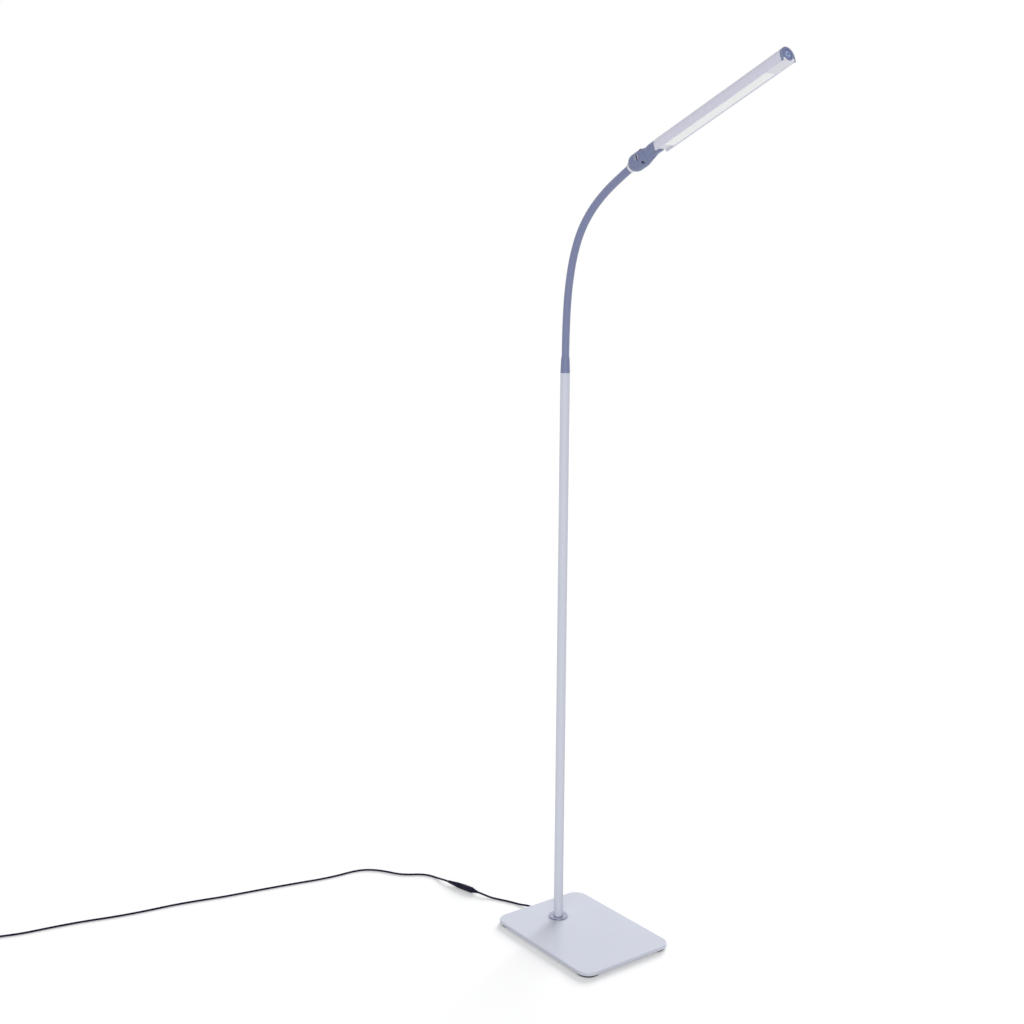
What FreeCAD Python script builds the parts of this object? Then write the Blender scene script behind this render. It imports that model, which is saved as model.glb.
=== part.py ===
import FreeCAD, Part

import math
import os
import re

import Sketcher
from FreeCAD import Placement, Rotation, Vector

# Gooseneck reading floor lamp: flat base plate, tall thin pole, flexible neck, ball knuckle and a
# slim straight head lit from below. Millimetres and degrees. The origin is where the pole's axis
# meets the floor, +Z is up, +X points to the head, and the lamp is symmetric about Y = 0.

SIZES = {
    # base plate and its pads
    "plate_length": 250, "plate_width": 188, "plate_thickness": 5, "plate_rear": 60,
    "plate_corner": 22, "plate_edge": 1, "pad_diameter": 38, "pad_height": 4,
    # pole, its foot and the trim ring
    "pole_diameter": 16, "pole_bore": 14, "pole_top": 960, "flange_diameter": 31, "flange_height": 1.8,
    "flange_screw_circle": 24, "flange_screw_shank": 4, "flange_screw_head": 7.4, "flange_screw_sink": 2,
    "flange_screw_short": 0.1, "collar_diameter": 33.6, "collar_height": 2.4, "collar_round": 0.7,
    "collar_gap": 0.5,
    # cord way under the plate
    "cord_diameter": 3.4, "groove_width": 4.4, "groove_depth": 2.4, "cord_hole": 9, "cord_bend": 8,
    "cord_exit_y": -11, "clip_length": 26, "clip_width": 9, "clip_height": 2.5, "clip_rear": 50,
    "clip_screw_pitch": 17, "clip_screw_shank": 2.6, "clip_screw_head": 4.6, "clip_screw_depth": 4.5,
    # gooseneck
    "bush_length": 25, "neck_fitting_grip": 18, "neck_fitting_reach": 16, "neck_diameter": 12.6,
    "sleeve_bore": 10, "core_bore": 5, "link_length": 42.4, "link_ball": 7.6, "link_gap": 0.35,
    "ferrule_length": 26, "ferrule_wall": 0.4, "ferrule_gap": 0.25, "lead_diameter": 2.6,
    "lead_gap": 0.5, "lead_joint": 40, "lead_rise": 4.5,
    "bend_1": 0.75, "bend_2": 1.75, "bend_3": 4.5, "bend_4": 6.5, "bend_5": 10.75,
    "bend_6": 16.25, "bend_7": 12.75, "bend_8": 8, "bend_9": 2,
    # ball knuckle
    "ball_reach": 15.5, "ball_diameter": 18, "ball_flat": 7.6, "ball_gap": 0.12,
    "stem_diameter": 6.4, "stem_bore": 4,
    "stem_grip": 10, "mouth_angle": 18.6, "mouth_gap": 0.2, "ring_diameter": 16.4, "ring_gap": 0.35,
    "knuckle_diameter": 27.2, "knuckle_straight": 11, "knuckle_front": 27, "knuckle_mouth": 21.4,
    "cavity_start": 4, "cavity_radius": 7.6, "cavity_end": 19.2, "tension_x": 14, "tension_shank": 4,
    "tension_head": 10, "tension_head_height": 2.6, "tension_slot": 2.6, "tension_slot_depth": 1.6,
    "tension_boss": 6,
    "nut_flats": 7, "nut_height": 3.2, "nut_seat": 8.6, "shell_screw_x": 19.2, "shell_screw_offset": 10,
    "shell_screw_shank": 2.2, "shell_screw_head": 4, "shell_screw_seat": 5.5, "shell_screw_depth": 6,
    # neck of the head
    "head_pitch": 21, "tail_start": 20.2, "tail_diameter": 14, "tail_flange": 18, "tail_flange_x": 22,
    "tail_flange_width": 2, "lead_way": 6, "lead_mouth": 9.4, "neck_end_diameter": 21, "neck_lip": 2,
    "neck_blend": 8, "neck_side_inset": 1.2, "neck_top_inset": 0.3, "plug_length": 9, "heart_top": 3,
    "heel_recess": 3, "heel_floor": 1.2, "heel_leg": 1.2, "fit": 0.1,
    # head housing and the light inside it
    "housing_start": 53.5, "housing_end": 310.5, "housing_width": 25, "housing_bottom": 7.8,
    "arch_centre": 0.2, "housing_wall": 1.6, "rail_wall": 2.2, "rail_groove": 0.8,
    "rail_low": 1.2, "rail_high": 2.7, "ledge_low": 0.4, "ledge_top": 0.9, "ledge_reach": 9.3,
    "board_start": 73, "board_end": 279, "board_gap": 0.7, "board_thickness": 1.6, "led_size": 3.5,
    "led_height": 0.8, "led_pitch": 9.8, "led_count": 21, "diffuser_start": 71.5,
    "diffuser_end": 279.6, "diffuser_crown": 0.5, "diffuser_recess": 0.8,
    # tip: floor block, end cap, button, switch
    "tip_start": 280, "floor_top": 4, "cap_thickness": 3, "button_diameter": 17.4, "button_gap": 0.3,
    "button_height": 1.4, "button_proud": 0.8, "button_thickness": 4.6, "button_travel": 0.8,
    "button_stem": 5, "cap_wall_front": 4, "cap_wall": 2, "snap_diameter": 6.6, "snap_width": 1.6,
    "spring_diameter": 8, "spring_bore": 6.2, "switch_gap": 0.25, "snap_gap": 0.2,
    "switch_size": 6, "switch_height": 3,
    "switch_board_width": 13, "switch_board_gap": 1.2, "switch_board_drop": 3, "keel_height": 6,
    "keel_over_ledge": 1.7, "post_size": 3, "post_y": 5.5, "post_low": 4.8, "post_gap": 0.3,
    "top_screw_head": 4.6, "top_screw_shank": 2.6, "top_screw_length": 6,
    "top_screw_sink": 1.4, "top_screw_depth": 0.2,
    # low-voltage connector on the cord
    "socket_length": 34, "socket_diameter": 10.4, "socket_tail": 12, "plug_body": 36, "connector_tip": 4.6,
    "pin_diameter": 5.4, "pin_length": 9, "cord_straight": 10,
    # plug-in adapter and its stored cord
    "relief_length": 24, "relief_diameter": 7.6, "relief_tip": 3.8, "adapter_length": 66, "adapter_width": 40,
    "adapter_height": 26, "adapter_round": 4, "prong_length": 17, "prong_width": 6.3,
    "prong_thickness": 1.5, "prong_pitch": 12.7, "coil_inner": 10.9, "coil_pitch": 3.9,
    "coil_turns": 4, "layer_rise": 3.9,
}

LINKS = 9
BENDS = [f"bend_{n}" for n in range(1, LINKS + 1)]

# Cord routes on the floor, chosen by hand from the photograph, as (x, y) in mm.
LAMP_CORD_ROUTE = [(-86, -18.6), (-104, -26), (-122, -35.5), (-140, -45.5)]
SOCKET_AT = (-168, -57)
PLUG_TAIL_AT = (-235.5, -75.1)
ADAPTER_CORD_ROUTE = [
    (-266, -79.5), (-284, -84.5), (-299, -96), (-311, -116), (-325, -131), (-344, -141),
    (-364, -155), (-379, -173), (-385, -197), (-385, -225), (-390, -262), (-399, -299),
    (-407, -336), (-414, -370), (-420, -402), (-427, -440), (-439, -484), (-449, -530),
    (-455, -579), (-465, -629), (-479, -678), (-489, -729), (-496, -780), (-512, -826), (-526, -862),
]
COIL_CENTRE = (-505, -905)

doc = FreeCAD.newDocument("ReadingLamp")
sheet = doc.addObject("Spreadsheet::Sheet", "Sizes")
for row, (name, value) in enumerate(SIZES.items(), start=1):
    sheet.set(f"A{row}", name)
    sheet.set(f"B{row}", str(value))
    sheet.setAlias(f"B{row}", name)
doc.recompute()

NODES = []


# ---------------------------------------------------------------- helpers


def bound(text):
    """An expression in which each size's name points at its cell."""
    return re.sub(r"[A-Za-z_]\w*", lambda m: f"Sizes.{m[0]}" if m[0] in SIZES else m[0], str(text))


def value(text):
    """The number that an expression over the sizes gives now."""
    return float(sheet.evalExpression(bound(text)))


def node(item, label, place=None):
    """Names a finished sub-part and lists it for export."""
    item.Label = label
    if place:
        item.Placement = place
    NODES.append(item)
    return item


def at(item, x=None, y=None, z=None):
    """Binds an object's position to expressions."""
    for axis, text in zip("xyz", (x, y, z)):
        if text is not None:
            item.setExpression(f"Placement.Base.{axis}", bound(text))
    return item


def cylinder(diameter, length, x="0", y="0", z="0", axis="Z"):
    item = doc.addObject("Part::Cylinder", "Cylinder")
    item.setExpression("Radius", bound(f"({diameter}) / 2"))
    item.setExpression("Height", bound(length))
    turn = {"Z": Rotation(), "X": Rotation(Vector(0, 1, 0), 90), "Y": Rotation(Vector(1, 0, 0), -90)}
    item.Placement = Placement(Vector(), turn[axis])
    return at(item, x, y, z)


def cone(start, end, length, x="0", y="0", z="0", axis="Z"):
    item = doc.addObject("Part::Cone", "Cone")
    item.setExpression("Radius1", bound(f"({start}) / 2"))
    item.setExpression("Radius2", bound(f"({end}) / 2"))
    item.setExpression("Height", bound(length))
    turn = {"Z": Rotation(), "X": Rotation(Vector(0, 1, 0), 90), "Y": Rotation(Vector(1, 0, 0), -90)}
    item.Placement = Placement(Vector(), turn[axis])
    return at(item, x, y, z)


def box(length, width, height, x="0", y="0", z="0"):
    """A box from x and z, centred on y."""
    item = doc.addObject("Part::Box", "Box")
    item.setExpression("Length", bound(length))
    item.setExpression("Width", bound(width))
    item.setExpression("Height", bound(height))
    return at(item, x, f"({y}) - ({width}) / 2", z)


def cut(base, *tools):
    item = doc.addObject("Part::Cut", "Cut")
    item.Base = base
    item.Tool = tools[0] if len(tools) == 1 else fuse(*tools)
    return item


def fuse(*items):
    item = doc.addObject("Part::MultiFuse", "Fuse")
    item.Shapes = list(items)
    item.Refine = True
    return item


def group(*items):
    """Separate solids of one kind in one node."""
    item = doc.addObject("Part::Compound", "Group")
    item.Links = list(items)
    return item


def moved(place, item):
    item.Placement = place
    return item


def common(*items):
    item = doc.addObject("Part::MultiCommon", "Common")
    item.Shapes = list(items)
    return item


def origin_plane(body, role):
    return next(f for f in body.Origin.OriginFeatures if f.Role == role)


def outline(sketch, corners):
    """Lines through (x, y) corners; a corner (x, y, centre y) is reached by an arc about x = 0."""
    spots = [Vector(value(c[0]), value(c[1]), 0) for c in corners]
    starts = []
    for here, (spot, after) in enumerate(zip(spots, spots[1:] + spots[:1])):
        target = corners[(here + 1) % len(corners)]
        if len(target) == 2:
            sketch.addGeometry(Part.LineSegment(spot, after))
        else:
            centre = Vector(0, value(target[2]), 0)
            lift = math.asin((after.y - centre.y) / after.distanceToPoint(centre))
            span = (math.pi - lift, 2 * math.pi + lift) if lift < -1e-6 else (lift, math.pi - lift)
            circle = Part.Circle(centre, Vector(0, 0, 1), after.distanceToPoint(centre))
            sketch.addGeometry(Part.ArcOfCircle(circle, *span))
        starts.append(1 if sketch.Geometry[here].StartPoint.distanceToPoint(spot) < 1e-6 else 2)
    for here in range(len(corners)):
        after = (here + 1) % len(corners)
        sketch.addConstraint(Sketcher.Constraint("Coincident", here, 3 - starts[here], after, starts[after]))
    for here, corner in enumerate(corners):
        hold(sketch, "DistanceX", here, starts[here], corner[0])
        hold(sketch, "DistanceY", here, starts[here], corner[1])
        if len(corner) == 3:
            hold(sketch, "DistanceY", (here - 1) % len(corners), 3, corner[2])


def hold(sketch, kind, curve, point, text):
    """Ties one point of a curve to an expression."""
    number = sketch.addConstraint(Sketcher.Constraint(kind, -1, 1, curve, point, value(text)))
    sketch.setExpression(f"Constraints[{number}]", bound(text))


def sketched(name, role, corners):
    """A body with one closed sketch on an origin plane."""
    body = doc.addObject("PartDesign::Body", f"{name}_body")
    sketch = body.newObject("Sketcher::SketchObject", f"{name}_outline")
    sketch.AttachmentSupport = [(origin_plane(body, role), "")]
    sketch.MapMode = "FlatFace"
    outline(sketch, corners)
    return body, sketch


def turned(name, corners, axis="V_Axis"):
    """A solid of revolution; corners are (x, z), about Z, or about X with axis H_Axis."""
    body, sketch = sketched(name, "XZ_Plane", corners)
    spin = body.newObject("PartDesign::Revolution", f"{name}_turned")
    spin.Profile = sketch
    spin.ReferenceAxis = (sketch, [axis])
    spin.Angle = 360
    return body


def extruded(name, role, corners, length, start="0"):
    """A prism; on YZ_Plane it runs along +X from start."""
    body, sketch = sketched(name, role, corners)
    sketch.setExpression("AttachmentOffset.Base.z", bound(start))
    pad = body.newObject("PartDesign::Pad", f"{name}_pad")
    pad.Profile = sketch
    pad.setExpression("Length", bound(length))
    return body


def shaped(label, shape, place=None):
    """A sub-part whose shape is worked out here from the sizes."""
    item = doc.addObject("Part::Feature", "Shaped")
    item.Shape = shape
    return node(item, label, place)


# ---------------------------------------------------------------- where the neck runs


def neck_frames():
    """Hinge points and lean angles of the gooseneck's centreline, from the pole's top to its end."""
    spot = Vector(0, 0, value("pole_top"))
    lean = 0.0
    frames = [(spot, lean)]
    for bend in BENDS:
        turn = math.radians(value(bend))
        radius = value("link_length") / turn
        centre = spot + Vector(math.cos(lean), 0, -math.sin(lean)) * radius
        lean += turn
        spot = centre - Vector(math.cos(lean), 0, -math.sin(lean)) * radius
        frames.append((spot, lean))
    return frames


def along(lean):
    return Vector(math.sin(lean), 0, math.cos(lean))


FRAMES = neck_frames()
NECK_END, NECK_LEAN = FRAMES[-1]
BALL_CENTRE = NECK_END + along(NECK_LEAN) * value("ball_reach")
Y_AXIS = Vector(0, 1, 0)
STEM_PLACE = Placement(BALL_CENTRE, Rotation(Y_AXIS, math.degrees(NECK_LEAN) - 90))
HEAD_PLACE = Placement(BALL_CENTRE, Rotation(Y_AXIS, -value("head_pitch")))


# ---------------------------------------------------------------- base


def make_base():
    body = doc.addObject("PartDesign::Body", "PlateBody")
    sketch = body.newObject("Sketcher::SketchObject", "plate_outline")
    sketch.AttachmentSupport = [(origin_plane(body, "XY_Plane"), "")]
    sketch.MapMode = "FlatFace"
    rear, front, side = "-plate_rear", "plate_length - plate_rear", "plate_width / 2"
    outline(sketch, [(rear, f"-{side}"), (front, f"-{side}"), (front, side), (rear, side)])
    slab = body.newObject("PartDesign::Pad", "slab")
    slab.Profile = sketch
    slab.setExpression("Length", bound("plate_thickness"))
    doc.recompute()
    corners = body.newObject("PartDesign::Fillet", "corners")
    corners.Base = (slab, upright_edges(slab.Shape))
    corners.setExpression("Radius", bound("plate_corner"))
    doc.recompute()
    edge = body.newObject("PartDesign::Fillet", "rolled_edge")
    edge.Base = (corners, top_edges(corners.Shape, value("plate_thickness")))
    edge.setExpression("Radius", bound("plate_edge"))
    at(body, z="pad_height")

    below = "pad_height - 1"
    groove = box("plate_rear + 10", "groove_width", "groove_depth + 1", "-plate_rear - 10", "0", below)
    ramp = box("cord_bend + 4", "groove_width", "plate_thickness + 2", "-cord_bend - 4", "0", below)
    way = moved(Placement(Vector(), groove_turn()), fuse(groove, ramp))
    hole = cylinder("cord_hole", "plate_thickness + 2", z=below)
    screw_holes = flange_screws("flange_screw_shank + 2 * fit", "flange_screw_head + 2 * fit", 0.5)
    threads = [
        cylinder("clip_screw_shank", "clip_screw_depth", "0", f"{side} * clip_screw_pitch / 2", below)
        for side in (-1, 1)
    ]
    node(cut(body, way, hole, *screw_holes, moved(clip_frame(), group(*threads))), "base_plate")

    pads = []
    inset = "plate_corner"
    for x in (f"-plate_rear + {inset}", f"plate_length - plate_rear - {inset}"):
        for y in (f"-plate_width / 2 + {inset}", f"plate_width / 2 - {inset}"):
            pads.append(cylinder("pad_diameter", "pad_height", x, y))
    node(group(*pads), "base_feet")


def upright_edges(shape):
    return [
        f"Edge{n}"
        for n, e in enumerate(shape.Edges, start=1)
        if abs(e.Vertexes[0].Z - e.Vertexes[-1].Z) > 1e-6
    ]


def top_edges(shape, height):
    return [
        f"Edge{n}"
        for n, e in enumerate(shape.Edges, start=1)
        if min(v.Z for v in e.Vertexes) > height - 1e-6
    ]


def flange_screws(shank, head, extra=0.0):
    """The three countersunk screws that hold the pole's foot, or their holes."""
    screws = []
    bottom = f"pad_height - {extra}"
    for n in range(3):
        turn = math.radians(120 * n)
        x = f"flange_screw_circle / 2 * {math.cos(turn):.6f}"
        y = f"flange_screw_circle / 2 * {math.sin(turn):.6f}"
        length = f"plate_thickness + flange_height - flange_screw_short + {2 * extra}"
        rod = cylinder(shank, length, x, y, bottom)
        sink = cone(head, shank, "flange_screw_sink", x, y, "pad_height")
        pieces = [rod, sink]
        if extra:
            pieces.append(cylinder(head, str(extra), x, y, bottom))
        screws.append(fuse(*pieces))
    return screws


def groove_turn():
    """From the pole's axis the groove runs back and a little toward -Y."""
    slope = math.degrees(math.atan2(-value("cord_exit_y"), value("plate_rear")))
    return Rotation(Vector(0, 0, 1), slope)


def clip_frame():
    share = value("clip_rear") / value("plate_rear")
    return Placement(Vector(-value("clip_rear"), share * value("cord_exit_y"), 0), groove_turn())


def make_cord_clip():
    bottom = "pad_height - clip_height"
    bar = box("clip_width", "clip_length", "clip_height", "-clip_width / 2", "0", bottom)
    lead_height = "pad_height + groove_depth - cord_diameter / 2 - fit"
    way = cylinder("cord_diameter + 4 * fit", "clip_width + 2", "-clip_width / 2 - 1", "0", lead_height, "X")
    mouth = box("clip_width + 2", "cord_diameter + 4 * fit", "cord_diameter", "-clip_width / 2 - 1", "0",
                lead_height)
    sinks = []
    screws = []
    for side in (-1, 1):
        y = f"{side} * clip_screw_pitch / 2"
        shank = cylinder("clip_screw_shank + 2 * fit", "clip_height + 2", "0", y, f"{bottom} - 1")
        head = cone("clip_screw_head + 2 * fit", "clip_screw_shank + 2 * fit", "1.4", "0", y, bottom)
        sinks += [shank, head]
        rod = cylinder("clip_screw_shank", "clip_height + clip_screw_depth - 1.6", "0", y, bottom)
        screws.append(fuse(rod, cone("clip_screw_head", "clip_screw_shank", "1.4", "0", y, bottom)))
    node(cut(bar, way, mouth, *sinks), "cord_clip", clip_frame())
    node(group(*screws), "cord_clip_screws", clip_frame())


def make_pole():
    plate_top = "pad_height + plate_thickness"
    pole_length = f"pole_top - ({plate_top})"
    outer = cylinder("pole_diameter", pole_length, z=plate_top)
    bore = cylinder("pole_bore", f"{pole_length} + 2", z=f"{plate_top} - 1")
    node(cut(outer, bore), "pole_tube")

    disc = cylinder("flange_diameter", "flange_height", z=plate_top)
    through = cylinder("pole_diameter", "flange_height + 2", z=f"{plate_top} - 1")
    threads = flange_screws("flange_screw_shank", "flange_screw_head", 0.5)
    node(cut(disc, through, *threads), "pole_flange")
    node(group(*flange_screws("flange_screw_shank", "flange_screw_head")), "flange_screws")

    top, low = f"{plate_top} + collar_height", plate_top
    rim, inner = "collar_diameter / 2", "pole_diameter / 2 + collar_gap"
    over_flange = f"{plate_top} + flange_height + fit"
    collar = turned("pole_collar", [
        (inner, over_flange),
        ("flange_diameter / 2 + fit", over_flange),
        ("flange_diameter / 2 + fit", low),
        (rim, low),
        (rim, f"{top} - collar_round"),
        (f"{rim} - collar_round", top),
        (inner, top),
    ])
    node(collar, "pole_collar")

    bush = cylinder("pole_bore - 2 * fit", "bush_length", z="pole_top - bush_length")
    thread = cylinder("sleeve_bore - 2 * fit", "bush_length + 2", z="pole_top - bush_length - 1")
    node(cut(bush, thread), "pole_top_bush")


# ---------------------------------------------------------------- gooseneck


def bent_rod(number, radius):
    """A round bar along one link's centreline, run straight on below where links meet."""
    spot, lean = FRAMES[number]
    face = Part.Face(Part.Wire(Part.makeCircle(radius, spot, along(lean))))
    turn = value(BENDS[number])
    bow = value("link_length") / math.radians(turn)
    bar = face.revolve(spot + Vector(math.cos(lean), 0, -math.sin(lean)) * bow, Y_AXIS, turn)
    if number == 0:
        return bar
    return bar.fuse(face.extrude(along(lean) * -value("link_ball"))).removeSplitter()


def link_ring(number, outer, inner, lower=None, upper=None):
    """A curved tube over one link, with a domed lower end and a hollow upper end where links meet."""
    tube = bent_rod(number, outer)
    if number > 0:
        spot, lean = FRAMES[number]
        dome = Part.makeSphere(value("link_ball"), spot)
        upward = Part.makeCylinder(outer + 1, 2 * value("link_length"), spot, along(lean))
        tube = tube.common(dome.fuse(upward))
    if number < LINKS - 1:
        tube = tube.cut(Part.makeSphere(value("link_ball + link_gap"), FRAMES[number + 1][0]))
    for tool in (bent_rod(number, inner), lower, upper):
        if tool:
            tube = tube.cut(tool)
    return tube


def rod_between(spot, direction, diameter, length):
    return Part.makeCylinder(diameter / 2, length, spot, direction)


def make_gooseneck():
    sleeve = value("neck_diameter") / 2, value("sleeve_bore") / 2
    core = value("sleeve_bore / 2 - fit"), value("core_bore") / 2
    reach, grip = value("neck_fitting_reach"), value("stem_grip")
    wide, end = 2 * value("neck_diameter"), along(NECK_LEAN)
    lower = rod_between(Vector(0, 0, value("pole_top") - 1), Vector(0, 0, 1), wide, reach + 1)
    upper = rod_between(NECK_END - end * grip, end, wide, grip + 1)
    for number in range(LINKS):
        shaped(f"neck_sleeve_{number}", link_ring(number, *sleeve))
        ends = {0: {"lower": lower}, LINKS - 1: {"upper": upper}}.get(number, {})
        shaped(f"neck_core_{number}", link_ring(number, *core, **ends))

    grip_length = "neck_fitting_grip + neck_fitting_reach"
    fitting = cylinder("sleeve_bore - 2 * fit", grip_length, z="pole_top - neck_fitting_grip")
    way = cylinder("core_bore", f"{grip_length} + 2", z="pole_top - neck_fitting_grip - 1")
    node(cut(fitting, way), "neck_lower_fitting")

    skirt = cone("pole_diameter", "neck_diameter + 2 * ferrule_gap + 2 * ferrule_wall", "ferrule_length",
                 z="pole_top")
    seat = cylinder("neck_diameter + 2 * ferrule_gap", "ferrule_length + 2", z="pole_top - 1")
    node(cut(skirt, seat), "neck_ferrule")


# ---------------------------------------------------------------- knuckle, in the stem's own frame


def make_stem():
    root = "-ball_reach - stem_grip"
    sleeve = cylinder("sleeve_bore - 2 * fit", "stem_grip", root, axis="X")
    rod = cylinder("stem_diameter", "ball_reach", "-ball_reach", axis="X")
    bore = cylinder("stem_bore", "ball_reach + stem_grip + ball_diameter", f"{root} - 1", axis="X")
    flat = cylinder("ball_diameter", "ball_diameter", "ball_flat", axis="X")
    flare = cone("stem_bore", "stem_bore + 4", "2", "ball_flat - 2", axis="X")
    node(cut(fuse(ball("ball_diameter"), rod, sleeve), bore, flat, flare), "ball_stem", STEM_PLACE)

    disc = cylinder("ring_diameter", "ball_reach - fit", "-ball_reach + fit", axis="X")
    hollow = ball("knuckle_diameter + 2 * ring_gap")
    way = cylinder("stem_diameter + 2 * fit", "2 * ball_reach", "-ball_reach - 1", axis="X")
    node(cut(disc, hollow, way), "swivel_ring", STEM_PLACE)


def knuckle_blank():
    """The egg-shaped knuckle as one solid, in the head's frame, with its ball at the origin."""
    radius, mouth = value("knuckle_diameter / 2"), value("knuckle_mouth / 2")
    straight, front = value("knuckle_straight"), value("knuckle_front")
    fall = radius - mouth
    bow = ((front - straight) ** 2 + fall ** 2) / (2 * fall)
    half = math.asin((front - straight) / bow) / 2
    shoulder = Vector(straight + bow * math.sin(half), 0, radius - bow * (1 - math.cos(half)))
    back, top = Vector(-radius, 0, 0), Vector(0, 0, radius)
    middle = Vector(-radius * math.sqrt(0.5), 0, radius * math.sqrt(0.5))
    start, end = Vector(straight, 0, radius), Vector(front, 0, mouth)
    centre_line = [Part.LineSegment(end, Vector(front, 0, 0)), Part.LineSegment(Vector(front, 0, 0), back)]
    edges = [Part.Arc(back, middle, top), Part.LineSegment(top, start), Part.Arc(start, shoulder, end)]
    face = Part.Face(Part.Wire([edge.toShape() for edge in edges + centre_line]))
    item = doc.addObject("Part::Feature", "KnuckleBlank")
    item.Shape = face.revolve(Vector(), Vector(1, 0, 0), 360)
    return item


def ball(diameter):
    item = doc.addObject("Part::Sphere", "Ball")
    item.setExpression("Radius", bound(f"({diameter}) / 2"))
    return item


def knuckle_hollows():
    """What is cut from both shells: ball seat, mouth for the stem, lead way and tail socket."""
    throat = "(stem_diameter + 2 * mouth_gap) / cos(mouth_angle)"
    mouth = cone(f"{throat} + 2 * knuckle_diameter * tan(mouth_angle)", throat, "knuckle_diameter",
                 "-knuckle_diameter", axis="X")
    return [
        ball("ball_diameter + 2 * ball_gap"),
        moved(HEAD_PLACE.inverse() * STEM_PLACE, group(mouth)),
        cylinder("2 * cavity_radius", "cavity_end - cavity_start", "cavity_start", axis="X"),
        cylinder("lead_mouth", "tail_start - cavity_end + 2", "cavity_end - 1", axis="X"),
        cylinder("tail_diameter", "knuckle_front", "tail_start", axis="X"),
        cylinder("tail_flange", "tail_flange_width", "tail_flange_x", axis="X"),
    ]


def make_knuckle():
    radius = "knuckle_diameter / 2"
    side = {"left": -1, "right": 1}
    for name, sign in side.items():
        half = box("4 * knuckle_diameter", "knuckle_diameter", "2 * knuckle_diameter",
                   "-2 * knuckle_diameter", f"{sign} * knuckle_diameter / 2", "-knuckle_diameter")
        start = "0" if sign > 0 else f"-{radius} + 1"
        boss = cylinder("tension_boss", f"{radius} - 1", "tension_x", start, "0", "Y")
        shell = fuse(cut(common(knuckle_blank(), half), *knuckle_hollows()), boss)
        holes = [cylinder("tension_shank + 2 * fit", "2 * knuckle_diameter", "tension_x",
                          "-knuckle_diameter", "0", "Y")]
        for up in (-1, 1):
            z = f"{up} * shell_screw_offset"
            if sign < 0:
                holes.append(cylinder("shell_screw_shank + 2 * fit", "knuckle_diameter", "shell_screw_x",
                                      "-knuckle_diameter", z, "Y"))
                holes.append(cylinder("shell_screw_head + 2 * fit", "knuckle_diameter", "shell_screw_x",
                                      "-knuckle_diameter - shell_screw_seat", z, "Y"))
            else:
                holes.append(cylinder("shell_screw_shank", "shell_screw_depth + 1", "shell_screw_x",
                                      "-1", z, "Y"))
        if sign < 0:
            holes.append(cylinder("tension_head + 2 * fit", "knuckle_diameter", "tension_x",
                                  "-knuckle_diameter - knuckle_diameter / 2 + tension_head_height", "0", "Y"))
        else:
            holes.append(hexagon("nut_flats + 2 * fit", "knuckle_diameter", "nut_seat"))
        node(cut(shell, *holes), f"knuckle_shell_{name}", HEAD_PLACE)

    face = f"-{radius}"
    head = cylinder("tension_head", "tension_head_height", "tension_x", face, "0", "Y")
    shank = cylinder("tension_shank", "knuckle_diameter / 2 + nut_seat + nut_height - 0.4", "tension_x",
                     face, "0", "Y")
    slot = box("tension_slot", "2 * tension_slot_depth", "2 * tension_head",
               "tension_x - tension_slot / 2", face, "-tension_head")
    node(cut(fuse(head, shank), slot), "tension_screw", HEAD_PLACE)
    thread = cylinder("tension_shank", "knuckle_diameter", "tension_x", "0", "0", "Y")
    node(cut(hexagon("nut_flats", "nut_height", "nut_seat"), thread), "tension_nut", HEAD_PLACE)

    screws = []
    for up in (-1, 1):
        z = f"{up} * shell_screw_offset"
        cap = cylinder("shell_screw_head", "1.8", "shell_screw_x", "-shell_screw_seat - 1.8", z, "Y")
        rod = cylinder("shell_screw_shank", "shell_screw_seat + shell_screw_depth - 0.4", "shell_screw_x",
                       "-shell_screw_seat", z, "Y")
        screws.append(fuse(cap, rod))
    node(group(*screws), "shell_screws", HEAD_PLACE)


def hexagon(flats, height, start):
    """A hexagonal prism along +Y from start, round the tension screw's axis."""
    item = doc.addObject("Part::Prism", "Hexagon")
    item.Polygon = 6
    item.setExpression("Circumradius", bound(f"({flats}) / 2 / cos(30)"))
    item.setExpression("Height", bound(height))
    item.Placement = Placement(Vector(), Rotation(Vector(1, 0, 0), -90))
    return at(item, "tension_x", start, "0")


# ---------------------------------------------------------------- head, in the head's own frame

HALF_WIDTH = "housing_width / 2"
ARCH_Z = "-arch_centre"
BOTTOM = "-housing_bottom"
TOP_SCREWS = ("housing_start + plug_length / 2", "housing_end - cap_wall_front - cap_wall / 2")


def arch(half, bottom, centre=ARCH_Z):
    """Corners (y, z) of an upright arch: straight sides and a half-round top."""
    return [
        (f"{half}", bottom),
        (f"{half}", centre),
        (f"-({half})", centre, centre),
        (f"-({half})", bottom),
    ]


def dome(half, bottom):
    """Corners of what is left of the arch above a flat that lies over the arch's centre."""
    chord = f"sqrt(({half}) ^ 2 - ({bottom} + arch_centre) ^ 2)"
    return [(chord, bottom), (f"-{chord}", bottom, ARCH_Z)]


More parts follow.
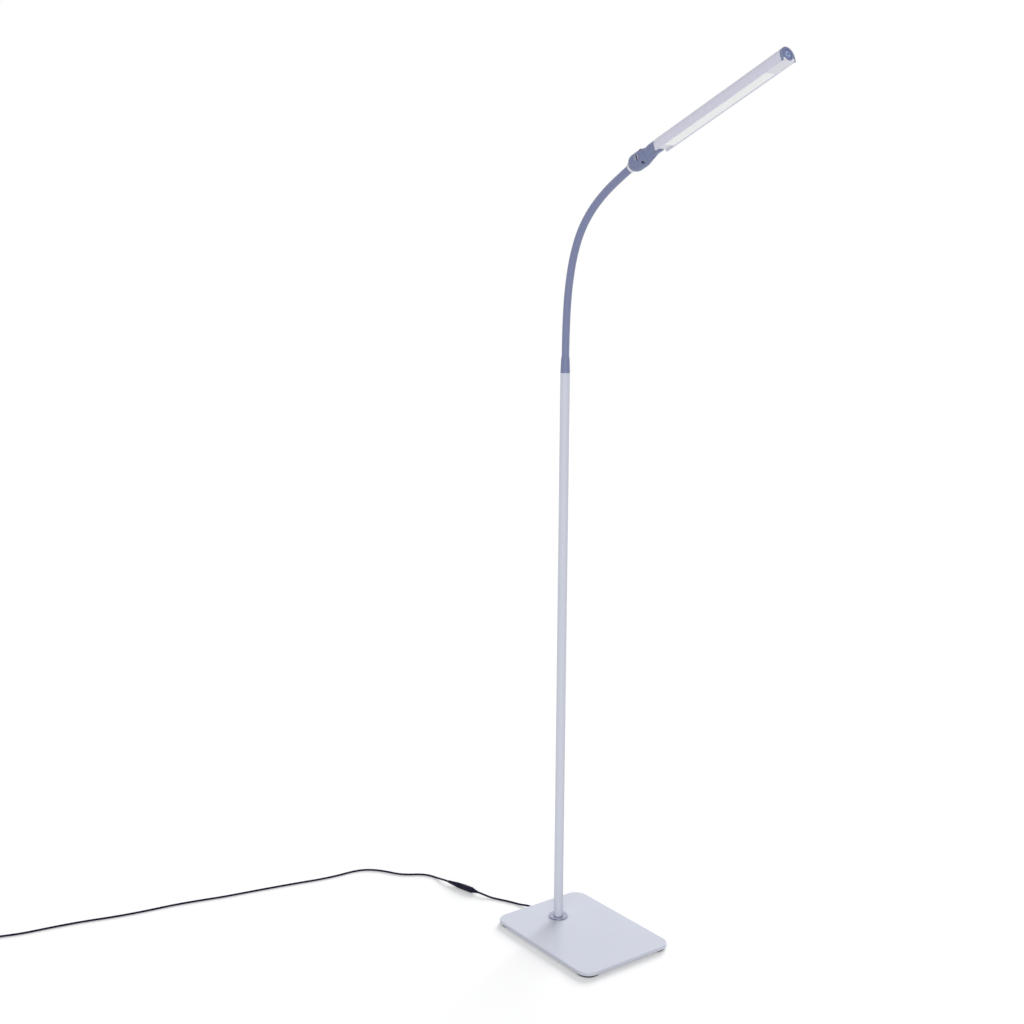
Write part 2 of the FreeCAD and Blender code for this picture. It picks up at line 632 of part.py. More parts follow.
def make_head_neck():
    """The grey piece between knuckle and housing; its tail turns in the knuckle."""
    inside = "housing_width / 2 - housing_wall - fit"
    tail = cylinder("tail_diameter - 2 * fit", "housing_start - tail_start", "tail_start", axis="X")
    flange = cylinder("tail_flange - 2 * fit", "tail_flange_width - 2 * fit", "tail_flange_x + fit", axis="X")
    start, end = value("knuckle_front + fit"), value("housing_start")
    lip, blend = start + value("neck_lip"), start + value("neck_lip + neck_blend")
    end_circle = Part.makeCircle(value("neck_end_diameter") / 2, Vector(start, 0, 0), Vector(1, 0, 0))
    round_end = Part.Wire(end_circle)
    runs = [
        (round_end, neck_section(lip, 0.12)),
        (neck_section(lip, 0.12), neck_section(blend, 1.0)),
        (neck_section(blend, 1.0), neck_section(end, 1.0)),
    ]
    lofts = []
    for run in runs:
        loft = doc.addObject("Part::Feature", "NeckRun")
        loft.Shape = Part.makeLoft(list(run), True)
        lofts.append(loft)
    plug = extruded("plug", "YZ_Plane", dome(inside, "ledge_top + fit"), "plug_length", "housing_start")
    heart_low = f"{BOTTOM} + heel_recess + heel_floor + fit"
    heart = box("plug_length", "2 * ledge_reach - 2 * fit", f"heart_top - ({heart_low})",
                "housing_start", "0", heart_low)
    way = cylinder("lead_way", "housing_start + plug_length", "tail_start - 1", axis="X")
    mouth = cone("lead_mouth", "lead_way", "4", "tail_start", axis="X")
    screw = top_screw(TOP_SCREWS[0], "top_screw_shank", "top_screw_head")
    solid = fuse(tail, flange, *lofts, plug, heart)
    node(cut(solid, way, mouth, screw), "head_neck", HEAD_PLACE)


def neck_section(x, share):
    """A section between the round mouth (share 0) and a rounded arch inside the housing's (share 1)."""
    radius = value("neck_end_diameter") / 2
    half = radius + share * (value("housing_width / 2 - neck_side_inset") - radius)
    top = radius + share * (value("housing_width / 2 - arch_centre - neck_top_inset") - radius)
    low = -radius + share * (radius - value("housing_bottom - heel_recess"))
    corner = max(0.45, 1 - share) * half * 0.95
    shoulder, side_low = top - half, low + corner
    diagonal = corner * (1 - math.sqrt(0.5))

    def spot(y, z):
        return Vector(x, y, z)

    curves = [
        Part.Arc(spot(half, shoulder), spot(0, top), spot(-half, shoulder)),
        Part.LineSegment(spot(-half, shoulder), spot(-half, side_low)),
        Part.Arc(spot(-half, side_low), spot(-half + diagonal, low + diagonal), spot(-half + corner, low)),
        Part.LineSegment(spot(-half + corner, low), spot(half - corner, low)),
        Part.Arc(spot(half - corner, low), spot(half - diagonal, low + diagonal), spot(half, side_low)),
        Part.LineSegment(spot(half, side_low), spot(half, shoulder)),
    ]
    return Part.Wire([curve.toShape() for curve in curves])


def top_screw(x, shank, head):
    """A countersunk screw down through the top of the housing, or its hole."""
    top = "housing_width / 2 - arch_centre - top_screw_depth"
    rod = cylinder(shank, "top_screw_length", x, "0", f"{top} - top_screw_length")
    sink = cone(shank, head, "top_screw_sink", x, "0", f"{top} - top_screw_sink")
    return fuse(rod, sink)


def make_housing():
    rail_in = f"{HALF_WIDTH} - rail_wall"
    groove_in = f"{rail_in} + rail_groove"
    wall_in = f"{HALF_WIDTH} - housing_wall"
    above = f"sqrt(({wall_in}) ^ 2 - (ledge_top + arch_centre) ^ 2)"
    inner = [
        (rail_in, BOTTOM),
        (rail_in, f"{BOTTOM} + rail_low"),
        (groove_in, f"{BOTTOM} + rail_low"),
        (groove_in, f"{BOTTOM} + rail_high"),
        (rail_in, f"{BOTTOM} + rail_high"),
        (rail_in, "-ledge_low"),
        ("ledge_reach", "-ledge_low"),
        ("ledge_reach", "ledge_top"),
        (above, "ledge_top"),
    ]
    corners = arch(HALF_WIDTH, BOTTOM)
    corners += [(f"-({y})", z) for y, z in inner]
    corners.append((above, "ledge_top", ARCH_Z))
    corners += list(reversed(inner))[1:]
    body = extruded("housing", "YZ_Plane", corners, "housing_end - housing_start", "housing_start")
    holes = [top_screw(x, "top_screw_shank + 2 * fit", "top_screw_head + 2 * fit") for x in TOP_SCREWS]
    node(cut(body, *holes), "head_housing", HEAD_PLACE)
    node(group(*[top_screw(x, "top_screw_shank", "top_screw_head") for x in TOP_SCREWS]), "housing_screws",
         HEAD_PLACE)


def make_light():
    """Board, diodes, diffuser and the floor that closes the housing behind the diffuser."""
    board_half = "housing_width / 2 - housing_wall - board_gap"
    board_z = "ledge_top + fit"
    board_length = "board_end - board_start"
    board = box(board_length, f"2 * ({board_half})", "board_thickness", "board_start", "0", board_z)
    node(group(board), "led_board", HEAD_PLACE)
    first = f"board_start + ({board_length} - (led_count - 1) * led_pitch) / 2 - led_size / 2"
    led_z = f"{board_z} - led_height"
    leds = [
        box("led_size", "led_size", "led_height", f"{first} + {n} * led_pitch", "0", led_z)
        for n in range(int(value("led_count")))
    ]
    node(group(*leds), "leds", HEAD_PLACE)
    profile = crowned("diffuser_crown", recess="diffuser_recess")
    strip = slid("diffuser", profile, "diffuser_start", "diffuser_end")
    node(strip, "diffuser", HEAD_PLACE)

    leg, floor = f"{SLIDE_IN} - heel_leg", f"{BOTTOM} + heel_recess"
    roof = f"{floor} + heel_floor"
    under = [(f"-({leg})", SLIDE_LOW), (f"-({leg})", floor), (leg, floor), (leg, SLIDE_LOW)]
    body = slid("heel_floor", (raised(roof), under), "housing_start + fit", "diffuser_start - 2 * fit")
    node(body, "heel_floor", HEAD_PLACE)


SLIDE_IN = f"({HALF_WIDTH} - rail_wall - fit)"
SLIDE_OUT = f"({SLIDE_IN} + rail_groove)"
SLIDE_LOW = f"({BOTTOM} + rail_low + fit)"
SLIDE_HIGH = f"({BOTTOM} + rail_high - fit)"


def slid(name, profile, start, end):
    """A strip whose two edges slide in the housing's rails; profile is (upper, lower) corners."""
    upper, lower = profile
    corners = [(SLIDE_OUT, SLIDE_LOW), (SLIDE_OUT, SLIDE_HIGH)] + upper
    corners += [(f"-{SLIDE_OUT}", SLIDE_HIGH), (f"-{SLIDE_OUT}", SLIDE_LOW)] + lower
    return extruded(name, "YZ_Plane", corners, f"{end} - ({start})", start)


def raised(roof):
    """Corners of a strip's upper face, lifted to a height between its sliding edges."""
    return [(SLIDE_IN, SLIDE_HIGH), (SLIDE_IN, roof), (f"-{SLIDE_IN}", roof), (f"-{SLIDE_IN}", SLIDE_HIGH)]


def crowned(crown, roof=None, recess="0"):
    """Corners of a strip whose underside bulges by the crown from a recess above the rims."""
    radius = f"({SLIDE_IN} ^ 2 + ({crown}) ^ 2) / (2 * ({crown}))"
    under = f"{BOTTOM} + {recess}"
    lower = [
        (f"-{SLIDE_IN}", SLIDE_LOW),
        (f"-{SLIDE_IN}", under),
        (SLIDE_IN, under, f"{under} - {crown} + {radius}"),
        (SLIDE_IN, SLIDE_LOW),
    ]
    return raised(roof) if roof else [], lower


BOARD_FRONT = ("housing_end - cap_wall_front - cap_wall - snap_gap - snap_width"
               " - button_travel - switch_gap - switch_height")


def make_tip():
    front = "housing_end + cap_thickness"
    wall_back = "housing_end - cap_wall_front - cap_wall"
    depth = "cap_wall_front + cap_wall"
    floor = slid("tip_floor", crowned("0.3", f"{BOTTOM} + floor_top - fit"), "tip_start", front)
    node(cut(floor, button_hole()), "tip_floor", HEAD_PLACE)

    plate = extruded("cap_plate", "YZ_Plane", arch(HALF_WIDTH, BOTTOM), "cap_thickness", "housing_end")
    inside = "housing_width / 2 - housing_wall - fit"
    spigot = extruded("cap_spigot", "YZ_Plane", dome(inside, "ledge_top + fit"), depth, wall_back)
    keel_z = "ledge_top + keel_over_ledge - keel_height"
    keel = box(depth, "2 * ledge_reach - 2 * fit", "keel_height", wall_back, "0", keel_z)
    post_height = f"{inner_height('post_y + post_size / 2', 'post_gap')} - post_low"
    post_length = f"{wall_back} - ({BOARD_FRONT})"
    posts = [
        box(post_length, "post_size", post_height, BOARD_FRONT, f"{side} * post_y", "post_low")
        for side in (-1, 1)
    ]
    slot = box("cap_thickness + 2", "housing_width - 2 * rail_wall + 2 * rail_groove + 2 * fit",
               "housing_bottom - floor_top + 1.5", "housing_end - 1", "0", "-housing_bottom - 1.4")
    stem_hole = cylinder("button_stem + 0.5", "40", "housing_end - 20", "0", "button_height", "X")
    screw = top_screw(TOP_SCREWS[1], "top_screw_shank", "top_screw_head")
    solid = fuse(plate, spigot, keel, *posts)
    node(cut(solid, button_hole(), slot, stem_hole, screw), "end_cap", HEAD_PLACE)

    face = f"{front} + button_proud"
    rim = "button_diameter / 2"
    back = f"{face} - button_thickness"
    collar_front = f"{wall_back} - snap_gap"
    body = turned("power_button", [
        (f"{collar_front} - snap_width", "0"),
        (f"{collar_front} - snap_width", "snap_diameter / 2"),
        (collar_front, "snap_diameter / 2"),
        (collar_front, "button_stem / 2"),
        (back, "button_stem / 2"),
        (back, rim),
        (f"{face} - 0.6", rim),
        (face, f"{rim} - 0.6"),
        (face, f"{rim} * 0.74"),
        (f"{face} - 0.5", f"{rim} * 0.7"),
        (f"{face} - 0.5", f"{rim} * 0.5"),
        (face, f"{rim} * 0.46"),
        (face, f"{rim} * 0.16"),
        (f"{face} - 0.4", f"{rim} * 0.12"),
        (f"{face} - 0.4", "0"),
    ], "H_Axis")
    shift = Placement(Vector(0, 0, value("button_height")), Rotation())
    node(body, "power_button", HEAD_PLACE * shift)
    seat = "housing_end - cap_wall_front"
    coil = cylinder("spring_diameter", f"{back} - ({seat})", seat, "0", "button_height", "X")
    hollow = cylinder("spring_bore", "20", f"{seat} - 1", "0", "button_height", "X")
    node(cut(coil, hollow), "button_spring", HEAD_PLACE)

    board_top = inner_height("switch_board_width / 2", "switch_board_gap")
    board = box("board_thickness", "switch_board_width", f"{board_top} + switch_board_drop",
                f"{BOARD_FRONT} - board_thickness", "0", "-switch_board_drop")
    node(group(board), "switch_board", HEAD_PLACE)
    switch = box("switch_height", "switch_size", "switch_size", BOARD_FRONT, "0",
                 "button_height - switch_size / 2")
    node(group(switch), "tact_switch", HEAD_PLACE)


def inner_height(half, gap):
    """How high something of this half width may reach under the housing's inner arch."""
    return f"(sqrt((housing_width / 2 - housing_wall - {gap}) ^ 2 - ({half}) ^ 2) - arch_centre)"


def button_hole():
    return cylinder("button_diameter + 2 * button_gap", "cap_thickness + 20", "housing_end - cap_wall_front",
                    "0", "button_height", "X")


# ---------------------------------------------------------------- leads and cords


def rounded_path(points):
    """Straight runs joined by tangent arcs, each as large as its two runs allow."""
    edges = []
    sizes = []
    start = points[0]
    for before, here, after in zip(points, points[1:], points[2:]):
        first, second = here - before, after - here
        turn = first.getAngle(second)
        run = min(first.Length, second.Length)
        cutback = 0.45 * run
        radius = cutback / math.tan(turn / 2)
        sizes.append(radius)
        first.normalize()
        second.normalize()
        enter, leave = here - first * cutback, here + second * cutback
        inward = (second - first).normalize()
        middle = here + inward * (radius / math.cos(turn / 2) - radius)
        edges.append(Part.LineSegment(start, enter).toShape())
        edges.append(Part.Arc(enter, middle, leave).toShape())
        start = leave
    edges.append(Part.LineSegment(start, points[-1]).toShape())
    return Part.Wire(edges), sizes


def tube_on(wire, diameter):
    """A round tube swept along a path."""
    first = wire.Edges[0]
    start = first.valueAt(first.FirstParameter)
    heading = first.tangentAt(first.FirstParameter)
    section = Part.Wire(Part.makeCircle(diameter / 2, start, heading))
    sweep = Part.BRepOffsetAPI.MakePipeShell(wire)
    sweep.add(section)
    sweep.build()
    sweep.makeSolid()
    return sweep.shape()


def report_tube(label, shape, wire, diameter, radii):
    share = shape.Volume / (math.pi * diameter ** 2 / 4 * wire.Length)
    print(f"{label}: length {wire.Length:.1f}, volume over section x length {share:.4f}")
    if radii:
        print(f"{label}: radii {', '.join(f'{r:.0f}' for r in radii)}")


def cord(label, points, diameter):
    wire, radii = rounded_path(points)
    shape = tube_on(wire, diameter)
    report_tube(label, shape, wire, diameter, radii)
    return shaped(label, shape)


def head_point(x, z):
    return HEAD_PLACE.multVec(Vector(x, 0, z))


def make_inner_lead():
    """The lead from the base's rear edge, up the pole and neck and through the ball to the head."""
    diameter = value("lead_diameter")
    height = value("pad_height + groove_depth - cord_diameter / 2 - fit")
    exit_spot = Vector(-value("plate_rear"), value("cord_exit_y"), height)
    level = Vector(0, 0, height)
    bend = value("cord_bend")
    toward = (level - exit_spot).normalize()
    enter, leave = level - toward * bend, level + Vector(0, 0, bend)
    corner = enter + Vector(0, 0, bend)
    middle = corner + (toward * math.sqrt(0.5) - Vector(0, 0, math.sqrt(0.5))) * bend
    foot = [
        Part.LineSegment(exit_spot, enter).toShape(),
        Part.Arc(enter, middle, leave).toShape(),
    ]
    top = FRAMES[0][0]
    edges = foot + [Part.LineSegment(leave, top).toShape()]
    for (spot, lean), (after, _), bend_name in zip(FRAMES, FRAMES[1:], BENDS):
        turn = math.radians(value(bend_name))
        radius = value("link_length") / turn
        centre = spot + Vector(math.cos(lean), 0, -math.sin(lean)) * radius
        half = lean + turn / 2
        middle = centre - Vector(math.cos(half), 0, -math.sin(half)) * radius
        edges.append(Part.Arc(spot, middle, after).toShape())
    boss_x, boss_radius = value("tension_x"), value("tension_boss / 2")
    over = boss_radius + value("lead_diameter / 2 + lead_gap")
    ball_front = value("ball_diameter") / 2
    route = [
        NECK_END,
        BALL_CENTRE,
        head_point(ball_front, 0),
        head_point(boss_x - boss_radius, over),
        head_point(boss_x + boss_radius, over),
        head_point(value("tail_start") + 1.5, 0),
        head_point(value("lead_joint"), 0),
    ]
    tail, _ = rounded_path(route)
    wire = Part.Wire(edges + tail.Edges)
    shape = tube_on(wire, diameter)
    report_tube("lamp_lead", shape, wire, diameter, None)
    shaped("lamp_lead", shape)

    rest = value("ledge_top + 2 * fit + board_thickness + lead_diameter / 2")
    board_back = value(f"{BOARD_FRONT} - board_thickness")
    route = [
        head_point(value("lead_joint"), 0),
        head_point(value("housing_start + plug_length - lead_rise"), 0),
        head_point(value("board_start - lead_rise") + 1, rest),
        head_point(board_back, rest),
    ]
    cord("head_lead", route, diameter)


def make_cords():
    diameter = value("cord_diameter")
    lying = diameter / 2
    height = value("pad_height + groove_depth - cord_diameter / 2 - fit")
    start = Vector(-value("plate_rear"), value("cord_exit_y"), height)
    socket, tail = Vector(*SOCKET_AT, 0), Vector(*PLUG_TAIL_AT, 0)
    axis_height = value("socket_diameter") / 2
    heading = (tail - socket).normalize()
    outward = groove_turn().multVec(Vector(-1, 0, 0))
    place = Placement(socket + Vector(0, 0, axis_height), Rotation(Vector(1, 0, 0), heading))
    straight = value("cord_straight")
    route = [start, start + outward * straight]
    route += [Vector(x, y, lying) for x, y in LAMP_CORD_ROUTE]
    route += [place.multVec(Vector(-straight, 0, 0)), place.Base]
    cord("lamp_cord", route, diameter)

    thick, tip = "socket_diameter / 2", "connector_tip / 2"
    body = turned("dc_socket", [
        ("0", "0"),
        ("0", tip),
        ("socket_tail * 0.6", f"{thick} * 0.86"),
        ("socket_tail", thick),
        ("socket_length - 0.6", thick),
        ("socket_length", f"{thick} - 0.6"),
        ("socket_length", "pin_diameter / 2 + fit"),
        ("socket_length - pin_length - 1", "pin_diameter / 2 + fit"),
        ("socket_length - pin_length - 1", "0"),
    ], "H_Axis")
    node(body, "dc_socket", place)
    end = "socket_length + plug_body"
    body = turned("dc_plug", [
        ("socket_length - pin_length", "0"),
        ("socket_length - pin_length", "pin_diameter / 2"),
        ("socket_length", "pin_diameter / 2"),
        ("socket_length", f"{thick} - 0.6"),
        ("socket_length + 0.6", f"{thick} - 0.2"),
        ("socket_length + plug_body * 0.3", f"{thick} - 0.4"),
        ("socket_length + plug_body * 0.62", f"{thick} * 0.72"),
        (end, tip),
        (end, "0"),
    ], "H_Axis")
    node(body, "dc_plug", place)

    route = [place.multVec(Vector(value(end) + ahead, 0, 0)) for ahead in (0, straight)]
    route += [Vector(x, y, lying) for x, y in ADAPTER_CORD_ROUTE]
    wire, entry, heading_in = coil_path()
    cord("adapter_cord", route + [entry - heading_in * straight, entry], diameter)

    shape = tube_on(wire, diameter)
    report_tube("cord_coil", shape, wire, diameter, None)
    print(f"cord_coil: least gap between turns {least_gap(wire, diameter):.2f}")
    shaped("cord_coil", shape)
    last = wire.Edges[-1]
    make_adapter(last.valueAt(last.LastParameter), last.tangentAt(last.LastParameter))


def half_turns(centre, radius, step, count, angle, height):
    """Half turns of a flat spiral; each is step wider than the one before, about a shifted centre."""
    arcs = []
    for _ in range(count):
        outward = Vector(math.cos(angle), math.sin(angle), 0)
        side = Vector(-math.sin(angle), math.cos(angle), 0)
        spot = centre + outward * radius + Vector(0, 0, height)
        middle = centre + side * radius + Vector(0, 0, height)
        after = centre - outward * radius + Vector(0, 0, height)
        arcs.append((spot, middle, after))
        centre = centre + outward * step
        radius += step
        angle += math.pi
    return arcs, centre, radius, angle


def biarc(start, heading, end, leaving):
    """Two tangent arcs from one point and heading to another."""
    span = end - start
    both = heading + leaving
    spread = 2 * (1 - heading.dot(leaving))
    reach = (-span.dot(both) + math.sqrt(span.dot(both) ** 2 + spread * span.dot(span))) / spread
    first, second = start + heading * reach, end - leaving * reach
    middle = (first + second) * 0.5
    edges = []
    for spot, corner, after in ((start, first, middle), (middle, second, end)):
        chord_middle = (spot + after) * 0.5
        half = (after - spot).Length / 2
        rise = (corner - chord_middle).Length
        apex = chord_middle + (corner - chord_middle) * (half / (half + (corner - spot).Length))
        edges.append(Part.Arc(spot, apex, after).toShape())
    return edges


def coil_path():
    """The stored cord: a flat spiral inward, a climb, and a flat spiral outward on top of it."""
    pitch, turns = value("coil_pitch"), int(value("coil_turns"))
    rise, lying = value("layer_rise"), value("cord_diameter") / 2
    centre = Vector(*COIL_CENTRE, 0)
    count = 2 * turns
    outer = value("coil_inner") + turns * pitch
    lower, middle_centre, radius, angle = half_turns(centre, outer, -pitch / 2, count, math.pi, lying)
    edges = [Part.Arc(*arc).toShape() for arc in lower]
    outward = Vector(math.cos(angle), math.sin(angle), 0)
    spot = middle_centre + outward * radius + Vector(0, 0, lying)
    heading = Vector(-outward.y, outward.x, 0)
    over = middle_centre - outward * radius + Vector(0, 0, lying + rise)
    edges += biarc(spot, heading, over, heading * -1)
    shifted = middle_centre + outward * (pitch / 2)
    upper = half_turns(shifted, radius + pitch / 2, pitch / 2, count - 1, angle + math.pi, lying + rise)[0]
    edges += [Part.Arc(*arc).toShape() for arc in upper]
    straight = value("cord_diameter")
    first, last = edges[0], edges[-1]
    start = lower[0][0]
    heading_in = first.tangentAt(first.FirstParameter)
    end = upper[-1][2]
    heading_out = last.tangentAt(last.LastParameter)
    begin = start - heading_in * straight
    edges.insert(0, Part.LineSegment(begin, start).toShape())
    edges.append(Part.LineSegment(end, end + heading_out * straight).toShape())
    return Part.Wire(edges), begin, heading_in


def least_gap(wire, diameter):
    """The least distance between two stretches of the tube more than a half turn apart."""
    points = wire.discretize(Distance=1.0)
    apart = int(math.pi * value("coil_inner"))
    least = min(
        a.distanceToPoint(b)
        for n, a in enumerate(points)
        for b in points[n + apart:]
    )
    return least - diameter


def make_adapter(spot, heading):
    turn = Rotation(Vector(1, 0, 0), heading)
    place = Placement(spot, turn)
    body = turned("adapter_strain_relief", [
        ("0", "0"),
        ("0", "relief_tip / 2"),
        ("relief_length * 0.4", "relief_tip / 2 + 0.2"),
        ("relief_length", "relief_diameter / 2"),
        ("relief_length", "0"),
    ], "H_Axis")
    node(body, "adapter_strain_relief", place)
    low = -spot.z
    half = value("adapter_height") / 2
    halves = {"adapter_case_bottom": low, "adapter_case_top": low + half}
    for label, z in halves.items():
        block = box("adapter_length", "adapter_width", "adapter_height / 2", "relief_length", "0", str(z))
        doc.recompute()
        rounded = doc.addObject("Part::Fillet", f"{label}_round")
        rounded.Base = block
        size = value("adapter_round")
        rounded.Edges = [(n, size, size) for n, e in enumerate(block.Shape.Edges, start=1) if stands(e)]
        node(cut(rounded, *prongs(low + half, "fit")), label, place)
    node(group(*prongs(low + half, "0")), "adapter_prongs", place)


def stands(edge):
    return abs(edge.Vertexes[0].Z - edge.Vertexes[-1].Z) > 1e-6


def prongs(height, slack):
    blades = []
    for side in (-1, 1):
        blades.append(box(
            "prong_length + 8", f"prong_thickness + 2 * {slack}", f"prong_width + 2 * {slack}",
            "relief_length + adapter_length - 8", f"{side} * prong_pitch / 2",
            f"{height} - prong_width / 2 - {slack}",
        ))
    return blades


# ---------------------------------------------------------------- build, check, write

make_base()
make_cord_clip()
make_pole()
make_gooseneck()
make_stem()
make_knuckle()
make_head_neck()
make_housing()
make_light()
make_tip()
make_inner_lead()
make_cords()
doc.recompute()

for item in doc.Objects:
    if {"Invalid", "Error"} & set(item.State):
        raise RuntimeError(f"{item.Name} failed: {item.State}")
for item in NODES:
    if item.Shape.isNull() or not item.Shape.isValid() or not item.Shape.Solids:
        raise RuntimeError(f"{item.Label} has no valid solid")

os.makedirs("parts", exist_ok=True)
for item in NODES:
    item.Shape.exportStep(f"parts/{item.Label}.step")
print(f"{len(NODES)} nodes, {sum(len(item.Shape.Solids) for item in NODES)} solids")
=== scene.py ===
# %% [markdown]
# # A gooseneck reading lamp
# The lamp stands on a thin painted plate. A white pole rises from the plate, a soft grey
# gooseneck bends over from its top, and a slim lighting head sits on a ball knuckle at its end.
# The engineering model gives every rigid piece its shape and place. This lesson adds what the
# eye needs: the smooth skin of the neck, the cord on the floor, fine details and real finishes.

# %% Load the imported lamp
import math

import bpy
from mathutils import Matrix, Vector


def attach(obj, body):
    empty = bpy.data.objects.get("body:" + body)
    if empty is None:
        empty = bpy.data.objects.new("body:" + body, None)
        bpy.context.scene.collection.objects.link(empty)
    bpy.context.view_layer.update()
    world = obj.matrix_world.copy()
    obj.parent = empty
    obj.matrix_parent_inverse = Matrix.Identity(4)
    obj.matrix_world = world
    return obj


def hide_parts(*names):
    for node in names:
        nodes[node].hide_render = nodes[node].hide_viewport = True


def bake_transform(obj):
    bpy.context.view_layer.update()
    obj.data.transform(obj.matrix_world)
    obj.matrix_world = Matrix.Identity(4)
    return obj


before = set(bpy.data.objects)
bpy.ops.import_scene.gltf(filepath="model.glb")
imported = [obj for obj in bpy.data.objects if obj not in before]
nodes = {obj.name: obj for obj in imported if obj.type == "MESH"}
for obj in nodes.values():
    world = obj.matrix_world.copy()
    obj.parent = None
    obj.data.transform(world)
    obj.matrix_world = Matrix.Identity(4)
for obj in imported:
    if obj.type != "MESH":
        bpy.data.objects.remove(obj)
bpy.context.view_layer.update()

MM = 0.001

# %% [markdown]
# ## The camera
# The camera stands where the photographer stood: in front of the lamp, a little to its side and
# just under head height. A camera can be aimed with an empty to track, but here its three axes
# are known from matching the lamp's sizes to the picture, so its matrix is written directly.

# %% Camera
CAMERA_SPOT = Vector((1.6785, -1.3469, 1.0625))
CAMERA_RIGHT = Vector((0.59333, 0.80493, 0.0065))
CAMERA_UP = Vector((-0.12764, 0.08611, 0.98808))
LENS, SENSOR = 45.69, 36


def placed(name, data):
    """A new object in the scene that holds a camera, light, mesh or curve."""
    thing = bpy.data.objects.new(name, data)
    bpy.context.scene.collection.objects.link(thing)
    return thing


right = CAMERA_RIGHT.normalized()
up = (CAMERA_UP - right * CAMERA_UP.dot(right)).normalized()
turned = Matrix((right, up, right.cross(up))).transposed().to_4x4()
camera_data = bpy.data.cameras.new("photo_camera")
camera_data.sensor_fit = "HORIZONTAL"
camera_data.sensor_width = SENSOR
camera_data.lens = LENS
camera = placed("photo_camera", camera_data)
camera.matrix_world = Matrix.Translation(CAMERA_SPOT) @ turned
bpy.context.scene.camera = camera
print(f"camera {CAMERA_SPOT.length:.2f} m from the pole's foot, lens {LENS} mm")

# %% [markdown]
# ## Floor, walls and light
# The picture is a plain studio cut-out: white all round, with only a soft shadow under the
# plate. A white floor on its own photographs grey, so for the camera the floor is lifted to
# white by a little emission. The lift is added to the lit floor, so the shadow stays.

# %% Helpers for shaders
def shader_tree(material):
    """A material's empty node tree with its output node."""
    material.use_nodes = True
    tree = material.node_tree
    tree.nodes.clear()
    return tree, tree.nodes.new("ShaderNodeOutputMaterial")


def calculate(tree, operation, first, second):
    """A math node between two sockets or numbers."""
    step = tree.nodes.new("ShaderNodeMath")
    step.operation = operation
    for slot, feed in zip(step.inputs, (first, second)):
        if isinstance(feed, (int, float)):
            slot.default_value = feed
        else:
            tree.links.new(feed, slot)
    return step.outputs[0]


def seen_directly(tree):
    """1 for rays that show the surroundings: from the camera, in gloss or through glass."""
    path = tree.nodes.new("ShaderNodeLightPath")
    seen = path.outputs["Is Camera Ray"]
    for name in ("Is Glossy Ray", "Is Transmission Ray"):
        seen = calculate(tree, "MAXIMUM", seen, path.outputs[name])
    return seen


print("shader helpers ready")

# %% Floor
FLOOR_WHITE, FLOOR_ROUGHNESS, FLOOR_GLOSS = 0.85, 0.9, 0.1
FLOOR_LIFT = 0.20
FLOOR_REACH = 9
PURE_WHITE = (1, 1, 1, 1)

floor_paint = bpy.data.materials.new("studio_floor")
tree, output = shader_tree(floor_paint)
matt = tree.nodes.new("ShaderNodeBsdfPrincipled")
matt.inputs["Base Color"].default_value = (FLOOR_WHITE, FLOOR_WHITE, FLOOR_WHITE, 1)
matt.inputs["Roughness"].default_value = FLOOR_ROUGHNESS
matt.inputs["Specular IOR Level"].default_value = FLOOR_GLOSS
matt.inputs["Emission Color"].default_value = PURE_WHITE
lift = calculate(tree, "MULTIPLY", seen_directly(tree), FLOOR_LIFT)
tree.links.new(lift, matt.inputs["Emission Strength"])
tree.links.new(matt.outputs[0], output.inputs[0])

floor_mesh = bpy.data.meshes.new("studio_floor")
corners = [(x * FLOOR_REACH, y * FLOOR_REACH, 0) for x, y in ((-1, -1), (1, -1), (1, 1), (-1, 1))]
floor_mesh.from_pydata(corners, [], [(0, 1, 2, 3)])
floor_mesh.materials.append(floor_paint)
floor = placed("studio_floor", floor_mesh)
print(f"white floor, {2 * FLOOR_REACH} m wide")

# %% Surroundings
SKY_COLOUR, SKY_LIGHT = (0.97, 0.98, 1.0, 1), 0.40
world = bpy.data.worlds.new("studio_world")
bpy.context.scene.world = world
world.use_nodes = True
sky_tree = world.node_tree
sky_tree.nodes.clear()
sky_out = sky_tree.nodes.new("ShaderNodeOutputWorld")
choose = sky_tree.nodes.new("ShaderNodeMixShader")
sky_tree.links.new(seen_directly(sky_tree), choose.inputs[0])
for slot, colour, strength in ((1, SKY_COLOUR, SKY_LIGHT), (2, PURE_WHITE, 1.0)):
    background = sky_tree.nodes.new("ShaderNodeBackground")
    background.inputs["Color"].default_value = colour
    background.inputs["Strength"].default_value = strength
    sky_tree.links.new(background.outputs[0], choose.inputs[slot])
sky_tree.links.new(choose.outputs[0], sky_out.inputs[0])
bpy.context.scene.view_settings.view_transform = "Standard"
print("white surroundings and view transform ready")

# %% [markdown]
# The shadow in the picture lies in front of the plate on both sides, so the main light stands
# low behind the lamp. It doesn't show as a gloss patch on the plate, so mirror-like rays pass it
# by. A weaker light from the camera's side fills in. Both are far away and broad, which lights
# the whole floor evenly, and their width in degrees sets how soft the shadows are.

# %% Lamps
def far_light(name, towards, height, strength, width, in_gloss):
    """A broad distant light: its compass direction and its height and width in degrees."""
    data = bpy.data.lights.new(name, "SUN")
    data.energy = strength
    data.angle = math.radians(width)
    lamp = placed(name, data)
    level = Vector((*towards, 0)).normalized()
    rise = math.radians(height)
    direction = level * math.cos(rise) + Vector((0, 0, math.sin(rise)))
    lamp.rotation_euler = direction.to_track_quat("Z", "Y").to_euler()
    lamp.visible_glossy = in_gloss


far_light("rear_light", (-0.55, 0.84), height=21, strength=3.7, width=30, in_gloss=False)
far_light("front_light", (0.78, -0.62), height=25, strength=1.15, width=40, in_gloss=True)
print("two broad lights placed")

